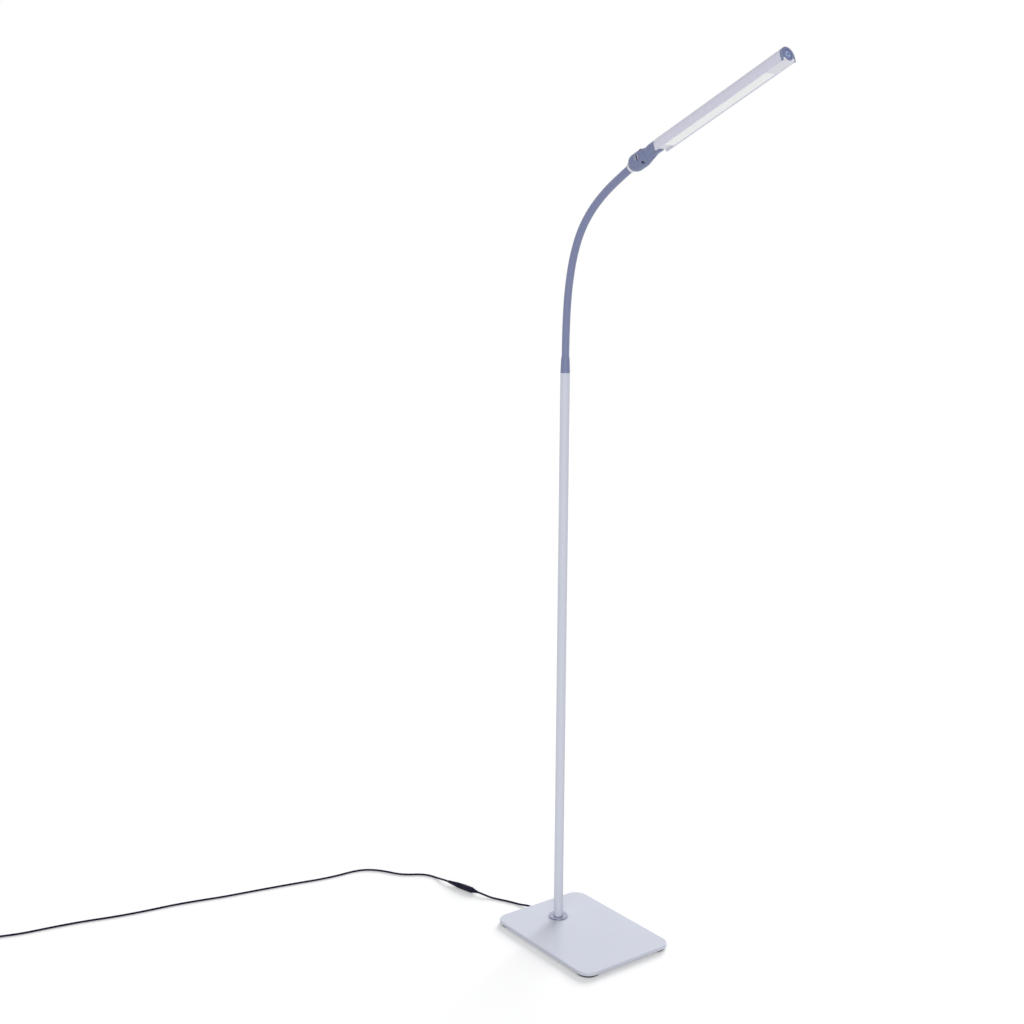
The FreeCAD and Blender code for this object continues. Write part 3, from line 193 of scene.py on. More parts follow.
# %% [markdown]
# ## Finishes
# Most of the lamp's surfaces differ in two ways: their own colour and gloss, and the fine grain
# that the light catches. The grain, the slow drift of tone and the lighter edges are the same
# effect on paint, plastic and rubber at different scales, so each is one node group with its own
# knobs, and every material sets them for itself. The lighter edges are wear, except on the slotted
# screw, where they are a painted highlight.

# %% Helpers for node groups
def new_group(name, inputs, outputs):
    """A shader node group with named float or colour sockets."""
    group = bpy.data.node_groups.new(name, "ShaderNodeTree")
    for label, kind, default in inputs:
        socket = group.interface.new_socket(label, in_out="INPUT", socket_type=kind)
        socket.default_value = default
    for label, kind in outputs:
        group.interface.new_socket(label, in_out="OUTPUT", socket_type=kind)
    return group, group.nodes.new("NodeGroupInput"), group.nodes.new("NodeGroupOutput")


def blended(tree, factor, first, second):
    """Two colours mixed by a socket."""
    mix = tree.nodes.new("ShaderNodeMix")
    mix.data_type = "RGBA"
    tree.links.new(factor, mix.inputs["Factor"])
    tree.links.new(first, mix.inputs["A"])
    tree.links.new(second, mix.inputs["B"])
    return mix.outputs["Result"]


COLOUR, NUMBER = "NodeSocketColor", "NodeSocketFloat"
PALE_GREY, DARK_GREY = (0.8, 0.8, 0.8, 1), (0.01, 0.01, 0.015, 1)
print("group helpers ready")

# %% Node group: fine grain
grain_group, taken, given = new_group(
    "fine_grain",
    [("Colour", COLOUR, PALE_GREY), ("Second Colour", COLOUR, PALE_GREY),
     ("Roughness", NUMBER, 0.4), ("Roughness Spread", NUMBER, 0.1),
     ("Grains per Metre", NUMBER, 900), ("Patches per Metre", NUMBER, 14)],
    [("Colour", COLOUR), ("Roughness", NUMBER), ("Height", NUMBER)],
)
where = grain_group.nodes.new("ShaderNodeTexCoord")
fine = grain_group.nodes.new("ShaderNodeTexNoise")
fine.inputs["Detail"].default_value = 4
patches = grain_group.nodes.new("ShaderNodeTexNoise")
patches.inputs["Detail"].default_value = 2
for noise, knob in ((fine, "Grains per Metre"), (patches, "Patches per Metre")):
    grain_group.links.new(where.outputs["Object"], noise.inputs["Vector"])
    grain_group.links.new(taken.outputs[knob], noise.inputs["Scale"])
tone = blended(grain_group, patches.outputs["Fac"], taken.outputs["Colour"],
               taken.outputs["Second Colour"])
both = calculate(grain_group, "ADD", fine.outputs["Fac"], patches.outputs["Fac"])
off_middle = calculate(grain_group, "SUBTRACT", both, 1.0)
uneven = calculate(grain_group, "MULTIPLY", off_middle, taken.outputs["Roughness Spread"])
rough = calculate(grain_group, "ADD", uneven, taken.outputs["Roughness"])
grain_group.links.new(tone, given.inputs["Colour"])
grain_group.links.new(rough, given.inputs["Roughness"])
grain_group.links.new(fine.outputs["Fac"], given.inputs["Height"])
print("fine_grain group ready")

# %% [markdown]
# Edges are where hands and cloths wear a finish away, and on the slotted screw the lighter edge is
# a painted highlight along the rim. Cycles can tell how sharply a surface turns, which it calls
# pointiness, and a little noise breaks the line up so that it doesn't look drawn.

# %% Node group: edge wear and painted highlights
EDGE_STARTS, EDGE_FULL = 0.54, 0.66
EDGE_SPOTS = 160
wear_and_glint_group, taken, given = new_group(
    "edge_wear_and_glints",
    [("Colour", COLOUR, PALE_GREY), ("Edge Colour", COLOUR, PALE_GREY), ("Amount", NUMBER, 0.3)],
    [("Colour", COLOUR)],
)
turns = wear_and_glint_group.nodes.new("ShaderNodeNewGeometry")
sharp = wear_and_glint_group.nodes.new("ShaderNodeMapRange")
sharp.interpolation_type = "SMOOTHSTEP"
sharp.inputs["From Min"].default_value = EDGE_STARTS
sharp.inputs["From Max"].default_value = EDGE_FULL
wear_and_glint_group.links.new(turns.outputs["Pointiness"], sharp.inputs["Value"])
breakup = wear_and_glint_group.nodes.new("ShaderNodeTexNoise")
breakup.inputs["Scale"].default_value = EDGE_SPOTS
spread = calculate(wear_and_glint_group, "MULTIPLY", sharp.outputs["Result"], breakup.outputs["Fac"])
mask = calculate(wear_and_glint_group, "MULTIPLY", spread, taken.outputs["Amount"])
# The lighter edge colour is wear, and on the slotted screw's rim a painted highlight.
edge_tinted = blended(wear_and_glint_group, mask, taken.outputs["Colour"], taken.outputs["Edge Colour"])
wear_and_glint_group.links.new(edge_tinted, given.inputs["Colour"])
print("edge_wear_and_glints group ready")

# %% [markdown]
# Slots and screw heads look dark because little light gets into them. The ambient occlusion node
# measures how shut in a point is, and that becomes painted shade in the colour.

# %% Node group: painted shade in recesses
recess_group, taken, given = new_group(
    "painted_recess_shade",
    [("Colour", COLOUR, PALE_GREY), ("Shade Colour", COLOUR, DARK_GREY),
     ("Reach", NUMBER, 0.002), ("Amount", NUMBER, 0.0)],
    [("Colour", COLOUR)],
)
# Painted shade: the colour darkens where the ambient occlusion finds the point shut in.
shut_in = recess_group.nodes.new("ShaderNodeAmbientOcclusion")
shut_in.samples = 8
recess_group.links.new(taken.outputs["Reach"], shut_in.inputs["Distance"])
closed = calculate(recess_group, "SUBTRACT", 1.0, shut_in.outputs["AO"])
stronger = calculate(recess_group, "MULTIPLY", closed, taken.outputs["Amount"])
share = calculate(recess_group, "MINIMUM", stronger, 1.0)
darkened = blended(recess_group, share, taken.outputs["Colour"], taken.outputs["Shade Colour"])
recess_group.links.new(darkened, given.inputs["Colour"])
print("painted_recess_shade group ready")

# %% [markdown]
# A colour picked from a picture is in screen values, while a shader wants linear light, so the
# finishes below are written as screen values from 0 to 255 and turned into light once.

# %% One finish
RELIEF_STRENGTH = 0.35


def light_of(screen):
    """Screen colour, 0 to 255, as linear light."""
    parts = [c / 255 for c in screen]
    return tuple(p / 12.92 if p <= 0.04045 else ((p + 0.055) / 1.055) ** 2.4 for p in parts) + (1,)


def group_node(tree, group, **values):
    """A group in a material's tree; values name its sockets, with _ for a space."""
    node = tree.nodes.new("ShaderNodeGroup")
    node.node_tree = group
    for name, value in values.items():
        node.inputs[name.replace("_", " ")].default_value = value
    return node


def finish(name, colour, second, roughness, spread=0.05, grain=900, patches=14, depth=0.02,
           edge=None, wear_and_glint=0.0, painted_shade=0.0, shade_reach=2.0, **shader):
    """A material whose colour, gloss and fine relief come from the three groups, which also paint
    shade into recesses and, on the slate screw, a highlight on the edges.

    Grain and patches count per metre, depth and shade_reach are in mm, and shader holds the
    Principled BSDF's own sockets, with _ for a space.
    """
    material = bpy.data.materials.new(name)
    tree, output = shader_tree(material)
    surface = tree.nodes.new("ShaderNodeBsdfPrincipled")
    grain_node = group_node(tree, grain_group, Colour=light_of(colour),
                            Second_Colour=light_of(second), Roughness=roughness,
                            Roughness_Spread=spread, Grains_per_Metre=grain,
                            Patches_per_Metre=patches)
    # Lighter edges: wear on most finishes, a painted highlight on the slate screw.
    edge_node = group_node(tree, wear_and_glint_group, Edge_Colour=light_of(edge or colour), Amount=wear_and_glint)
    tree.links.new(grain_node.outputs["Colour"], edge_node.inputs["Colour"])
    base_colour = edge_node.outputs["Colour"]
    # Painted shade in recesses, from ambient occlusion.
    if painted_shade:
        recess_node = group_node(tree, recess_group, Reach=shade_reach * MM, Amount=painted_shade)
        tree.links.new(base_colour, recess_node.inputs["Colour"])
        base_colour = recess_node.outputs["Colour"]
    tree.links.new(base_colour, surface.inputs["Base Color"])
    tree.links.new(grain_node.outputs["Roughness"], surface.inputs["Roughness"])
    bump = tree.nodes.new("ShaderNodeBump")
    bump.inputs["Strength"].default_value = RELIEF_STRENGTH
    bump.inputs["Distance"].default_value = depth * MM
    tree.links.new(grain_node.outputs["Height"], bump.inputs["Height"])
    tree.links.new(bump.outputs["Normal"], surface.inputs["Normal"])
    for socket, value in shader.items():
        surface.inputs[socket.replace("_", " ")].default_value = value
    tree.links.new(surface.outputs[0], output.inputs[0])
    return material


print("finish recipe ready")

# %% [markdown]
# Plate and pole are powder coated, which has a fine orange-peel relief and a thin gloss on top.
# The housing is lacquered and almost smooth. The grey mouldings and the neck's sleeve have the
# fine grain of an etched mould. The diffuser glows a little, because light scatters inside it:
# a small emission does that with far less noise than light that really passes through.

# %% Paints, plastics and rubbers
white_powder_coat = finish("white_powder_coat", (206, 210, 223), (202, 206, 219), 0.30,
                           grain=1400, depth=0.03, edge=(222, 224, 234), wear_and_glint=0.4,
                           Coat_Weight=0.3)
white_lacquer = finish("white_lacquer", (225, 223, 239), (220, 219, 235), 0.40,
                       grain=700, depth=0.006, edge=(234, 233, 244), wear_and_glint=0.15)
white_plastic = finish("white_plastic", (235, 235, 242), (230, 230, 238), 0.42, grain=2200)
slate_plastic = finish("slate_plastic", (123, 132, 168), (117, 126, 161), 0.40,
                       grain=1700, depth=0.04, edge=(150, 156, 184), wear_and_glint=0.5)
soft_neck_skin = finish("soft_neck_skin", (125, 132, 168), (119, 126, 162), 0.46,
                        grain=2600, patches=22, edge=(142, 148, 178), wear_and_glint=0.2,
                        Sheen_Weight=0.25)
milky_diffuser = finish("milky_diffuser", (214, 217, 216), (210, 213, 213), 0.42, spread=0.03,
                        depth=0.004, Emission_Color=(1.0, 1.0, 0.985, 1),
                        Emission_Strength=0.24)
board_white = finish("board_white", (232, 236, 230), (224, 229, 222), 0.3, grain=800, depth=0.01)
led_phosphor = finish("led_phosphor", (236, 214, 120), (228, 204, 104), 0.3,
                      grain=2400, depth=0.01)
black_switch = finish("black_switch", (34, 34, 38), (28, 28, 32), 0.35, grain=1500)
cord_skin = finish("cord_skin", (18, 15, 50), (14, 12, 42), 0.55, spread=0.08,
                   grain=1200, depth=0.03, edge=(30, 29, 58), wear_and_glint=0.3,
                   Specular_IOR_Level=0.08)
black_moulding = finish("black_moulding", (20, 18, 44), (15, 14, 36), 0.52, spread=0.08,
                        grain=1300, depth=0.06, edge=(48, 47, 72), wear_and_glint=0.5,
                        Specular_IOR_Level=0.16)
black_rubber = finish("black_rubber", (30, 29, 38), (22, 22, 30), 0.66, spread=0.1,
                      grain=1000, depth=0.08)
button_slate = finish("button_slate", (132, 141, 184), (124, 133, 176), 0.36,
                      grain=1900, edge=(160, 168, 200), wear_and_glint=0.4)
button_light = finish("button_light", (158, 178, 214), (150, 170, 208), 0.32, grain=1900)
button_dark = finish("button_dark", (92, 101, 150), (86, 95, 142), 0.40, grain=1900)
print(f"{len(bpy.data.materials)} materials")

# %% [markdown]
# Metals get their look from what they mirror. The trim ring and the slotted screws would show
# nothing but white here, so the painted_recess_shade group paints shade back into the gaps where
# parts meet, and the slate screw's pale rim is a painted highlight.

# %% Metals
# Painted shade in the collar's gaps.
bright_chrome = finish("bright_chrome", (176, 178, 198), (166, 168, 190), 0.20, spread=0.06,
                       grain=500, depth=0.004, painted_shade=0.9, shade_reach=3.0, Metallic=1.0)
# Painted highlight on the screw's rim and painted shade in its slot.
slate_screw = finish("slate_screw", (140, 143, 176), (130, 134, 168), 0.34, depth=0.01,
                     edge=(190, 192, 212), wear_and_glint=0.8, painted_shade=1.8, shade_reach=2.4)
# Painted shade in the screw holes.
dark_screw = finish("dark_screw", (84, 86, 108), (72, 74, 96), 0.38, depth=0.01,
                    painted_shade=1.5, shade_reach=3.0, Metallic=0.6)
zinc_steel = finish("zinc_steel", (176, 178, 184), (160, 163, 170), 0.32, spread=0.12,
                    grain=1100, Metallic=1.0)
wound_steel = finish("wound_steel", (128, 130, 138), (110, 112, 122), 0.38, spread=0.1,
                     grain=700, depth=0.05, Metallic=1.0)
nickel_blade = finish("nickel_blade", (206, 200, 178), (190, 184, 160), 0.24, spread=0.1,
                      depth=0.01, Metallic=1.0)
print(f"{len(bpy.data.materials)} materials")

# %% [markdown]
# ## Rigid pieces that keep their engineering shape
# Sheet, tube and turned parts come out of the engineering model true to size, so they stay.
# What they lack is a broken edge: nothing real ends in a perfectly sharp corner. A small bevel
# catches the light along each edge, and smooth shading is kept off the corners themselves.

# %% Finish for each kept piece
SMOOTH_BELOW, BEVEL_ABOVE = math.radians(32), math.radians(38)
KEPT = {
    white_powder_coat: {"base_plate": 0.25, "pole_tube": 0.2},
    white_lacquer: {"head_housing": 0.2},
    white_plastic: {"swivel_ring": 0.3, "tip_floor": 0.12, "heel_floor": 0.12},
    slate_plastic: {"knuckle_shell_left": 0.15, "knuckle_shell_right": 0.15, "head_neck": 0.25,
                    "end_cap": 0.3, "neck_ferrule": 0.12},
    bright_chrome: {"pole_collar": 0.15},
    zinc_steel: {"pole_flange": 0.2, "flange_screws": 0.15, "pole_top_bush": 0.2,
                 "neck_lower_fitting": 0.2, "cord_clip_screws": 0.12, "ball_stem": 0.15,
                 "tension_nut": 0.2, "housing_screws": 0.12},
    slate_screw: {"tension_screw": 0.2},
    dark_screw: {"shell_screws": 0.12},
    wound_steel: {f"neck_core_{n}": 0 for n in range(9)},
    milky_diffuser: {"diffuser": 0.2},
    board_white: {"led_board": 0.1, "switch_board": 0.1},
    led_phosphor: {"leds": 0.15},
    black_switch: {"tact_switch": 0.2, "head_lead": 0},
    black_moulding: {"cord_clip": 0.3, "adapter_strain_relief": 0.2, "adapter_case_bottom": 0.5,
                     "adapter_case_top": 0.5},
    nickel_blade: {"adapter_prongs": 0.2},
    black_rubber: {"base_feet": 0.6, "button_spring": 0},
}


def dress(name, material, edge):
    """A kept piece's finish, smooth shading and broken edges of a width in mm."""
    piece = nodes[name]
    for material_slot in piece.material_slots:
        material_slot.link = "OBJECT"
        material_slot.material = material
    for face in piece.data.polygons:
        face.use_smooth = True
    piece.data.set_sharp_from_angle(angle=SMOOTH_BELOW)
    if edge:
        bevel = piece.modifiers.new("broken_edges", "BEVEL")
        bevel.width = edge * MM
        bevel.segments = 2
        bevel.limit_method = "ANGLE"
        bevel.angle_limit = BEVEL_ABOVE


for material, pieces in KEPT.items():
    for name, edge in pieces.items():
        dress(name, material, edge)
print(f"{sum(len(p) for p in KEPT.values())} kept pieces dressed")

# %% [markdown]
# ## The gooseneck's skin
# Inside, the gooseneck is a wound steel core; what shows is one smooth soft sleeve. The
# engineering model splits it into nine stiff links, which is right for hinges and wrong for the
# eye. Here the skin is made as tubes that run from the middle of one link to the middle of the
# next, and each bends smoothly over the one hinge that it covers.

# %% The neck's centreline
POLE_TOP, LINK, LINKS = 960.0, 42.4, 9
BENDS = (0.75, 1.75, 4.5, 6.5, 10.75, 16.25, 12.75, 8, 2)
NECK_LENGTH = LINK * LINKS
NECK_STEP = 2.2


def neck_at(reach):
    """The centreline's place and heading at a distance in mm along it from the pole's top."""
    spot, lean = Vector((0, 0, POLE_TOP)), 0.0
    for bend in BENDS:
        turn = math.radians(bend)
        bow = LINK / turn
        centre = spot + Vector((math.cos(lean), 0, -math.sin(lean))) * bow
        lean += turn * min(reach / LINK, 1)
        spot = centre - Vector((math.cos(lean), 0, -math.sin(lean))) * bow
        if reach <= LINK:
            break
        reach -= LINK
    return spot, Vector((math.sin(lean), 0, math.cos(lean)))


def stretch(start, end):
    """Places along the neck from one distance to another."""
    count = max(2, round((end - start) / NECK_STEP))
    return [neck_at(start + (end - start) * n / count)[0] for n in range(count + 1)]


print(f"neck ends at {tuple(round(c, 1) for c in neck_at(NECK_LENGTH)[0])} mm")

# %% [markdown]
# Tubes and turned pieces are both made of rings of points that are joined by four-sided faces.

# %% Rings and tubes
ROUND_BELOW = math.radians(40)


def new_piece(name, vertices, faces, indices=None):
    """A smooth mesh object from vertices in metres."""
    mesh = bpy.data.meshes.new(name)
    mesh.from_pydata([tuple(v) for v in vertices], [], faces)
    for face in mesh.polygons:
        face.use_smooth = True
    if indices:
        mesh.polygons.foreach_set("material_index", indices)
    mesh.update()
    mesh.set_sharp_from_angle(angle=ROUND_BELOW)
    return placed(name, mesh)


def square_to(along):
    """A direction at right angles to another."""
    guide = Vector((0, 1, 0)) if abs(along.y) < 0.5 else Vector((0, 0, 1))
    return (guide - along * along.dot(guide)).normalized()


def ring(centre, along, across, radius, sides):
    """Points in metres on a circle in mm that faces along."""
    other = along.cross(across)
    points = []
    for side in range(sides):
        angle = 2 * math.pi * side / sides
        spoke = across * math.cos(angle) + other * math.sin(angle)
        points.append((centre + spoke * radius) * MM)
    return points


def joined_rings(count, sides):
    """Four-sided faces from each ring of points to the next."""
    faces = []
    for low in range(0, (count - 1) * sides, sides):
        for side in range(sides):
            after = (side + 1) % sides
            faces.append((low + side, low + after, low + sides + after, low + sides + side))
    return faces


def tube(name, points, radius, sides):
    """A round open tube through points in mm."""
    headings = [(b - a).normalized() for a, b in zip(points, points[1:])]
    between = [(a + b).normalized() for a, b in zip(headings, headings[1:])]
    across = square_to(headings[0])
    vertices = []
    for point, tangent in zip(points, [headings[0]] + between + [headings[-1]]):
        across = (across - tangent * across.dot(tangent)).normalized()
        vertices += ring(point, tangent, across, radius, sides)
    return new_piece(name, vertices, joined_rings(len(points), sides))


print("tube helpers ready")

# %% [markdown]
# Where two links meet, the skin mustn't fold. Each skin piece is curved along the neck's centreline
# over the hinge that it covers.


def bending(piece, joint):
    """The piece's placement baked into its mesh; the hinge's place is looked up but not used."""
    spot, heading = neck_at(joint * LINK)
    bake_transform(piece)


def along_link(joint):
    """The neck's centreline from mid-link to mid-link over a hinge, and to the end for the last."""
    end = NECK_LENGTH if joint == LINKS - 1 else (joint + 0.5) * LINK
    return stretch((joint - 0.5) * LINK, end)


# %% Skin pieces
SKIN_RADIUS, SKIN_SIDES, SKIN_START = 6.3, 48, 0.2
skin_root = tube("neck_skin_0", stretch(SKIN_START, LINK / 2), SKIN_RADIUS, SKIN_SIDES)
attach(skin_root, "stand")
skins = [skin_root]
for joint in range(1, LINKS):
    skin = tube(f"neck_skin_{joint}", along_link(joint), SKIN_RADIUS, SKIN_SIDES)
    bending(skin, joint)
    skins.append(skin)
for number, skin in enumerate(skins):
    skin.data.materials.append(soft_neck_skin)
    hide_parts(f"neck_sleeve_{number}")
print(f"{len(skins)} skin pieces")

# %% [markdown]
# ## The lead inside
# A thin lead runs under the plate, up the pole, through the neck and over the knuckle's screw.
# It hardly shows, but when the neck is bent it has to bend with it, so it is cut at the same
# places as the skin.

# %% Directions of the head
HEAD_PITCH, BALL_REACH = 21.0, 15.5
neck_end, neck_heading = neck_at(NECK_LENGTH)
ball_centre = neck_end + neck_heading * BALL_REACH
pitch = math.radians(HEAD_PITCH)
head_along = Vector((math.cos(pitch), 0, math.sin(pitch)))
head_over = Vector((-math.sin(pitch), 0, math.cos(pitch)))


def head_spot(reach, height=0.0):
    """A place in the head's own directions, in mm from the ball's centre."""
    return ball_centre + head_along * reach + head_over * height


print(f"ball centre at {tuple(round(c, 1) for c in ball_centre)} mm")

# %% Lead paths
CORNER_STEPS, CORNER_SHARE = 6, 0.45
PLATE_REAR, EXIT_SIDE, LEAD_HEIGHT, FOOT_BEND = 60.0, -11.0, 4.6, 8.0
OVER_BOSS, BOSS_BEND = 4.8, 4
KNUCKLE_END, TAIL_END = 24, 40


def rounded(points, radius):
    """The same points with each inner corner turned into a short curve."""
    path = [points[0]]
    for before, here, after in zip(points, points[1:], points[2:]):
        back = (before - here).normalized() * min(radius, (before - here).length * CORNER_SHARE)
        ahead = (after - here).normalized() * min(radius, (after - here).length * CORNER_SHARE)
        for n in range(CORNER_STEPS + 1):
            t = n / CORNER_STEPS
            path.append(here + back * (1 - t) ** 2 + ahead * t ** 2)
    return path + [points[-1]]


cord_exit = Vector((-PLATE_REAR, EXIT_SIDE, LEAD_HEIGHT))
under_pole = Vector((0, 0, LEAD_HEIGHT))
foot_path = rounded([cord_exit, under_pole, Vector((0, 0, POLE_TOP))], FOOT_BEND)
over_screw = rounded([ball_centre, head_spot(9), head_spot(11, OVER_BOSS),
                      head_spot(17, OVER_BOSS), head_spot(21.7), head_spot(KNUCKLE_END)],
                     BOSS_BEND)
print(f"lead path under the plate and up the pole: {len(foot_path)} points")

# %% Lead pieces
LEAD_RADIUS, LEAD_SIDES, LEAD_START = 1.3, 16, 2


def lead_piece(name, path, body=None):
    """A piece of the lead, which rides on a body unless it bends over a hinge."""
    lead = tube(name, path, LEAD_RADIUS, LEAD_SIDES)
    if body:
        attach(lead, body)
    return lead


leads = [lead_piece("lead_in_pole", foot_path + stretch(LEAD_START, LINK / 2), "stand")]
for joint in range(1, LINKS):
    lead = lead_piece(f"lead_in_neck_{joint}", along_link(joint))
    bending(lead, joint)
    leads.append(lead)
leads.append(lead_piece("lead_in_stem", [neck_end, ball_centre], "link_8"))
leads.append(lead_piece("lead_in_knuckle", over_screw, "knuckle"))
leads.append(lead_piece("lead_in_head_neck", [head_spot(KNUCKLE_END), head_spot(TAIL_END)], "head"))
for lead in leads:
    lead.data.materials.append(cord_skin)
    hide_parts("lamp_lead")
print(f"{len(leads)} lead pieces")

# %% [markdown]
# ## The cord on the floor
# A cord is a curve with a round bevel. A spline of order 3 stays close to its control points
# and never kinks, which is how a limp cord lies. The points are the route that was laid out
# for the engineering model, and the spare length is put away as a flat coil beside the plug-in
# adapter, outside the picture.

# %% Cord routes
CORD_DIAMETER = 3.4
LYING = CORD_DIAMETER / 2
STRAIGHT = 10.0
SOCKET_SPOT = Vector((-168, -57, 5.2))
PLUG_TAIL = Vector((-235.5, -75.1, 5.2))
CONNECTOR_LENGTH = 70.0
connector_along = (PLUG_TAIL - SOCKET_SPOT).normalized()
groove_along = (cord_exit - under_pole).normalized()
LAMP_CORD_ROUTE = [(-86, -18.6), (-104, -26), (-122, -35.5), (-140, -45.5)]
ADAPTER_CORD_ROUTE = [
    (-266, -79.5), (-284, -84.5), (-299, -96), (-311, -116), (-325, -131), (-344, -141),
    (-364, -155), (-379, -173), (-385, -197), (-385, -225), (-390, -262), (-399, -299),
    (-407, -336), (-414, -370), (-420, -402), (-427, -440), (-439, -484), (-449, -530),
    (-455, -579), (-465, -629), (-479, -678), (-489, -729), (-496, -780), (-512, -826),
    (-526, -862),
]


def lying(route):
    """A route's points with the cord's centreline at its height above the floor."""
    return [Vector((x, y, LYING)) for x, y in route]


lamp_route = [cord_exit, cord_exit + groove_along * STRAIGHT] + lying(LAMP_CORD_ROUTE)
lamp_route += [SOCKET_SPOT - connector_along * STRAIGHT, SOCKET_SPOT]
print(f"lamp cord: {len(lamp_route)} points")

# %% [markdown]
# The coil is a spiral made of half turns. Each half turn is half a pitch wider than the last,
# so the turns lie side by side, and where the spiral reverses it climbs onto its own top.

# %% Coil
COIL_CENTRE = Vector((-505, -905, 0))
COIL_PITCH, COIL_TURNS, COIL_INNER, LAYER_RISE = 3.9, 4, 10.9, 3.9
POINTS_PER_HALF = 10


def spoke(angle):
    """A level direction at an angle."""
    return Vector((math.cos(angle), math.sin(angle), 0))


def half_turns(centre, radius, step, count, angle, height, rise=0.0):
    """Points of a run of half turns, and where the run ends."""
    points = []
    for _ in range(count):
        for n in range(POINTS_PER_HALF):
            share = n / POINTS_PER_HALF
            out = spoke(angle + math.pi * share) * radius
            points.append(centre + out + Vector((0, 0, height + rise * share)))
        centre = centre + spoke(angle) * step
        radius += step
        angle += math.pi
    return points, centre, radius, angle


half_pitch = COIL_PITCH / 2
outer = COIL_INNER + COIL_TURNS * COIL_PITCH
lower, centre, radius, angle = half_turns(
    COIL_CENTRE, outer, -half_pitch, 2 * COIL_TURNS, math.pi, LYING)
climb, _, _, _ = half_turns(centre, radius, 0, 1, angle, LYING, LAYER_RISE)
shifted = centre + spoke(angle) * half_pitch
upper, centre, radius, angle = half_turns(
    shifted, radius + half_pitch, half_pitch, 2 * COIL_TURNS - 1, angle + math.pi,
    LYING + LAYER_RISE)
last_spoke = spoke(angle)
coil_end = centre + last_spoke * radius + Vector((0, 0, LYING + LAYER_RISE))
coil_leaving = Vector((-last_spoke.y, last_spoke.x, 0))
coil_entry = lower[0] + Vector((0, CORD_DIAMETER, 0))
coil_exit = coil_end + coil_leaving * CORD_DIAMETER
adapter_route = [PLUG_TAIL, PLUG_TAIL + connector_along * STRAIGHT] + lying(ADAPTER_CORD_ROUTE)
adapter_route += [coil_entry + Vector((0, STRAIGHT, 0)), coil_entry]
adapter_route += lower + climb + upper + [coil_end, coil_exit]
print(f"adapter cord: {len(adapter_route)} points, coil {2 * outer:.0f} mm across")

# %% Cord curves
def cord_curve(name, route, material):
    """A round cord through control points in mm."""
    data = bpy.data.curves.new(name, "CURVE")
    data.dimensions = "3D"
    data.bevel_depth = CORD_DIAMETER / 2 * MM
    data.bevel_resolution = 5
    data.resolution_u = 8
    data.use_fill_caps = True
    spline = data.splines.new("NURBS")
    spline.points.add(len(route) - 1)
    for point, spot in zip(spline.points, route):
        point.co = (*(spot * MM), 1)
    spline.order_u = 3
    spline.use_endpoint_u = True
    data.materials.append(material)
    cord = placed(name, data)
    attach(cord, "stand")
    return cord


lamp_cord = cord_curve("lamp_cord_skin", lamp_route, cord_skin)
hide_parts("lamp_cord")
adapter_cord = cord_curve("adapter_cord_skin", adapter_route, cord_skin)
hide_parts("adapter_cord", "cord_coil")
print("two cords laid")

# %% [markdown]
# ## The connector in the cord
# The lamp's own short cord ends in a socket, and the adapter's cord plugs into it. Both are
# turned shapes, so each is a lathe piece: a profile spun about the cord's line. Grip rings and
# the ribs of the strain relief are in the profile, and so they catch the light by themselves.

# %% Lathe and ribs
SMALLEST_RING = 0.01


def lathe(name, profile, base, along, sides=56, bands=None):
    """A profile of (distance along, radius) in mm spun about a line.

    Bands give the number of the material for each step of the profile.
    """
    along = along.normalized()
    across = square_to(along)
    vertices = []
    for reach, radius in profile:
        vertices += ring(base + along * reach, along, across, max(radius, SMALLEST_RING), sides)
    indices = [band for band in bands for _ in range(sides)] if bands else None
    return new_piece(name, vertices, joined_rings(len(profile), sides), indices)


def ribs(start, end, radius_start, radius_end, count, depth):
    """Profile points of shallow rings along a taper."""
    points = []
    for n in range(count):
        for share, sink in ((0.0, 0), (0.55, 0), (0.65, depth), (0.9, depth)):
            t = (n + share) / count
            radius = radius_start + (radius_end - radius_start) * t - sink
            points.append((start + (end - start) * t, radius))
    return points + [(end, radius_end)]


print("lathe ready")

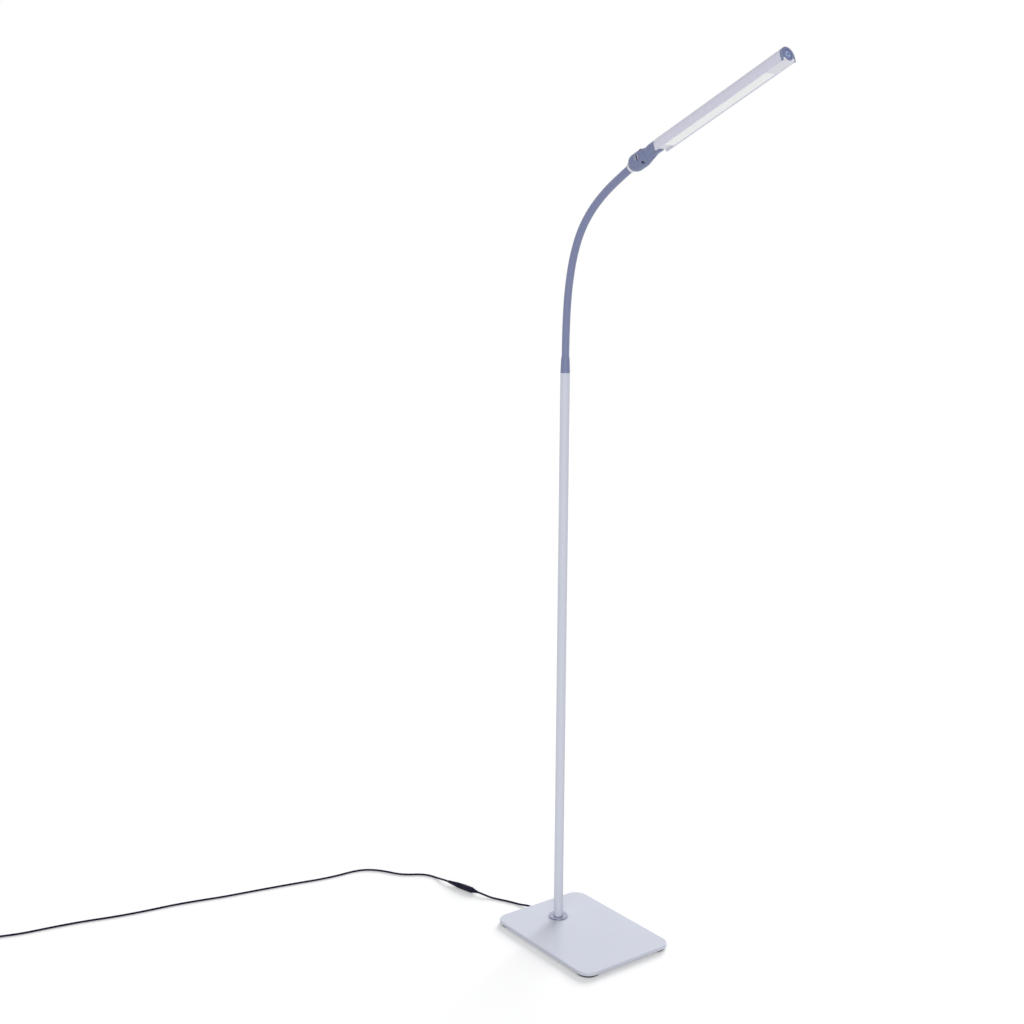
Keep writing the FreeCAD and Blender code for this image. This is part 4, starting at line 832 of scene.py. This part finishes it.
# %% Socket and plug
THICK = 5.2
socket_profile = [(0, 0), (0, 2.2)] + ribs(0.4, 11, 2.3, 4.5, 5, 0.35)
socket_profile += [(12.4, THICK - 0.1), (13.4, THICK), (31.5, THICK), (32.2, THICK - 0.35),
                   (33.0, THICK - 0.35), (33.4, THICK - 0.05), (33.8, THICK - 0.3),
                   (34.0, THICK - 0.7), (34.0, 2.9), (24, 2.8), (24, 0)]
dc_socket = lathe("dc_socket_body", socket_profile, SOCKET_SPOT, connector_along)
plug_profile = [(25, 0), (25, 2.7), (34, 2.7), (34.0, THICK - 0.7), (34.3, THICK - 0.3),
                (35, THICK - 0.2)]
plug_profile += ribs(37, 45, THICK - 0.2, THICK - 0.45, 5, 0.3)
plug_profile += [(46, THICK - 0.4), (50, 4.4), (56, 3.75)] + ribs(57, 69.4, 3.6, 2.35, 6, 0.35)
plug_profile += [(CONNECTOR_LENGTH, 2.2), (CONNECTOR_LENGTH, 0)]
dc_plug = lathe("dc_plug_body", plug_profile, SOCKET_SPOT, connector_along)
for piece, node in ((dc_socket, "dc_socket"), (dc_plug, "dc_plug")):
    piece.data.materials.append(black_moulding)
    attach(piece, "stand")
    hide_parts(node)
print("connector made")

# %% [markdown]
# ## The power button
# The button fills the end of the head. Its face is a set of rings: a slate rim, a dark groove,
# a pale ring that guides the finger and a small dark dot. One lathe piece with a material for
# each ring keeps the edges between them crisp.

# %% Button
HOUSING_END, CAP_PLATE, BUTTON_PROUD = 310.5, 3, 0.8
BUTTON_REACH, BUTTON_HEIGHT = HOUSING_END + CAP_PLATE + BUTTON_PROUD, 1.4
STEM, NECKED_STEM, RIM = 3.2, 2.45, 8.7
SLATE, LIGHT, DARK = 0, 1, 2
rings = [
    (-11.6, 0, SLATE), (-11.6, STEM, SLATE), (-10.0, STEM, SLATE),
    (-10.0, NECKED_STEM, SLATE), (-4.55, NECKED_STEM, SLATE), (-4.55, RIM, SLATE),
    (-0.75, RIM, SLATE), (-0.3, RIM - 0.15, SLATE), (-0.05, RIM - 0.6, SLATE),
    (0, RIM - 1.2, SLATE), (0, 6.9, DARK), (-0.45, 6.6, DARK), (-0.5, 6.3, SLATE),
    (-0.15, 5.9, SLATE), (-0.05, 5.5, SLATE), (-0.1, 4.9, DARK), (-0.5, 4.6, DARK),
    (-0.5, 4.2, LIGHT), (-0.1, 3.9, LIGHT), (0, 3.5, LIGHT), (0, 1.9, LIGHT),
    (-0.1, 1.6, DARK), (-0.4, 1.3, DARK), (-0.4, 0, DARK),
]
button = lathe("button_rings", [(reach, radius) for reach, radius, _ in rings],
               head_spot(BUTTON_REACH, BUTTON_HEIGHT), head_along, sides=72,
               bands=[band for _, _, band in rings[1:]])
for material in (button_slate, button_light, button_dark):
    button.data.materials.append(material)
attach(button, "button")
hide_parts("power_button")
print("button made")
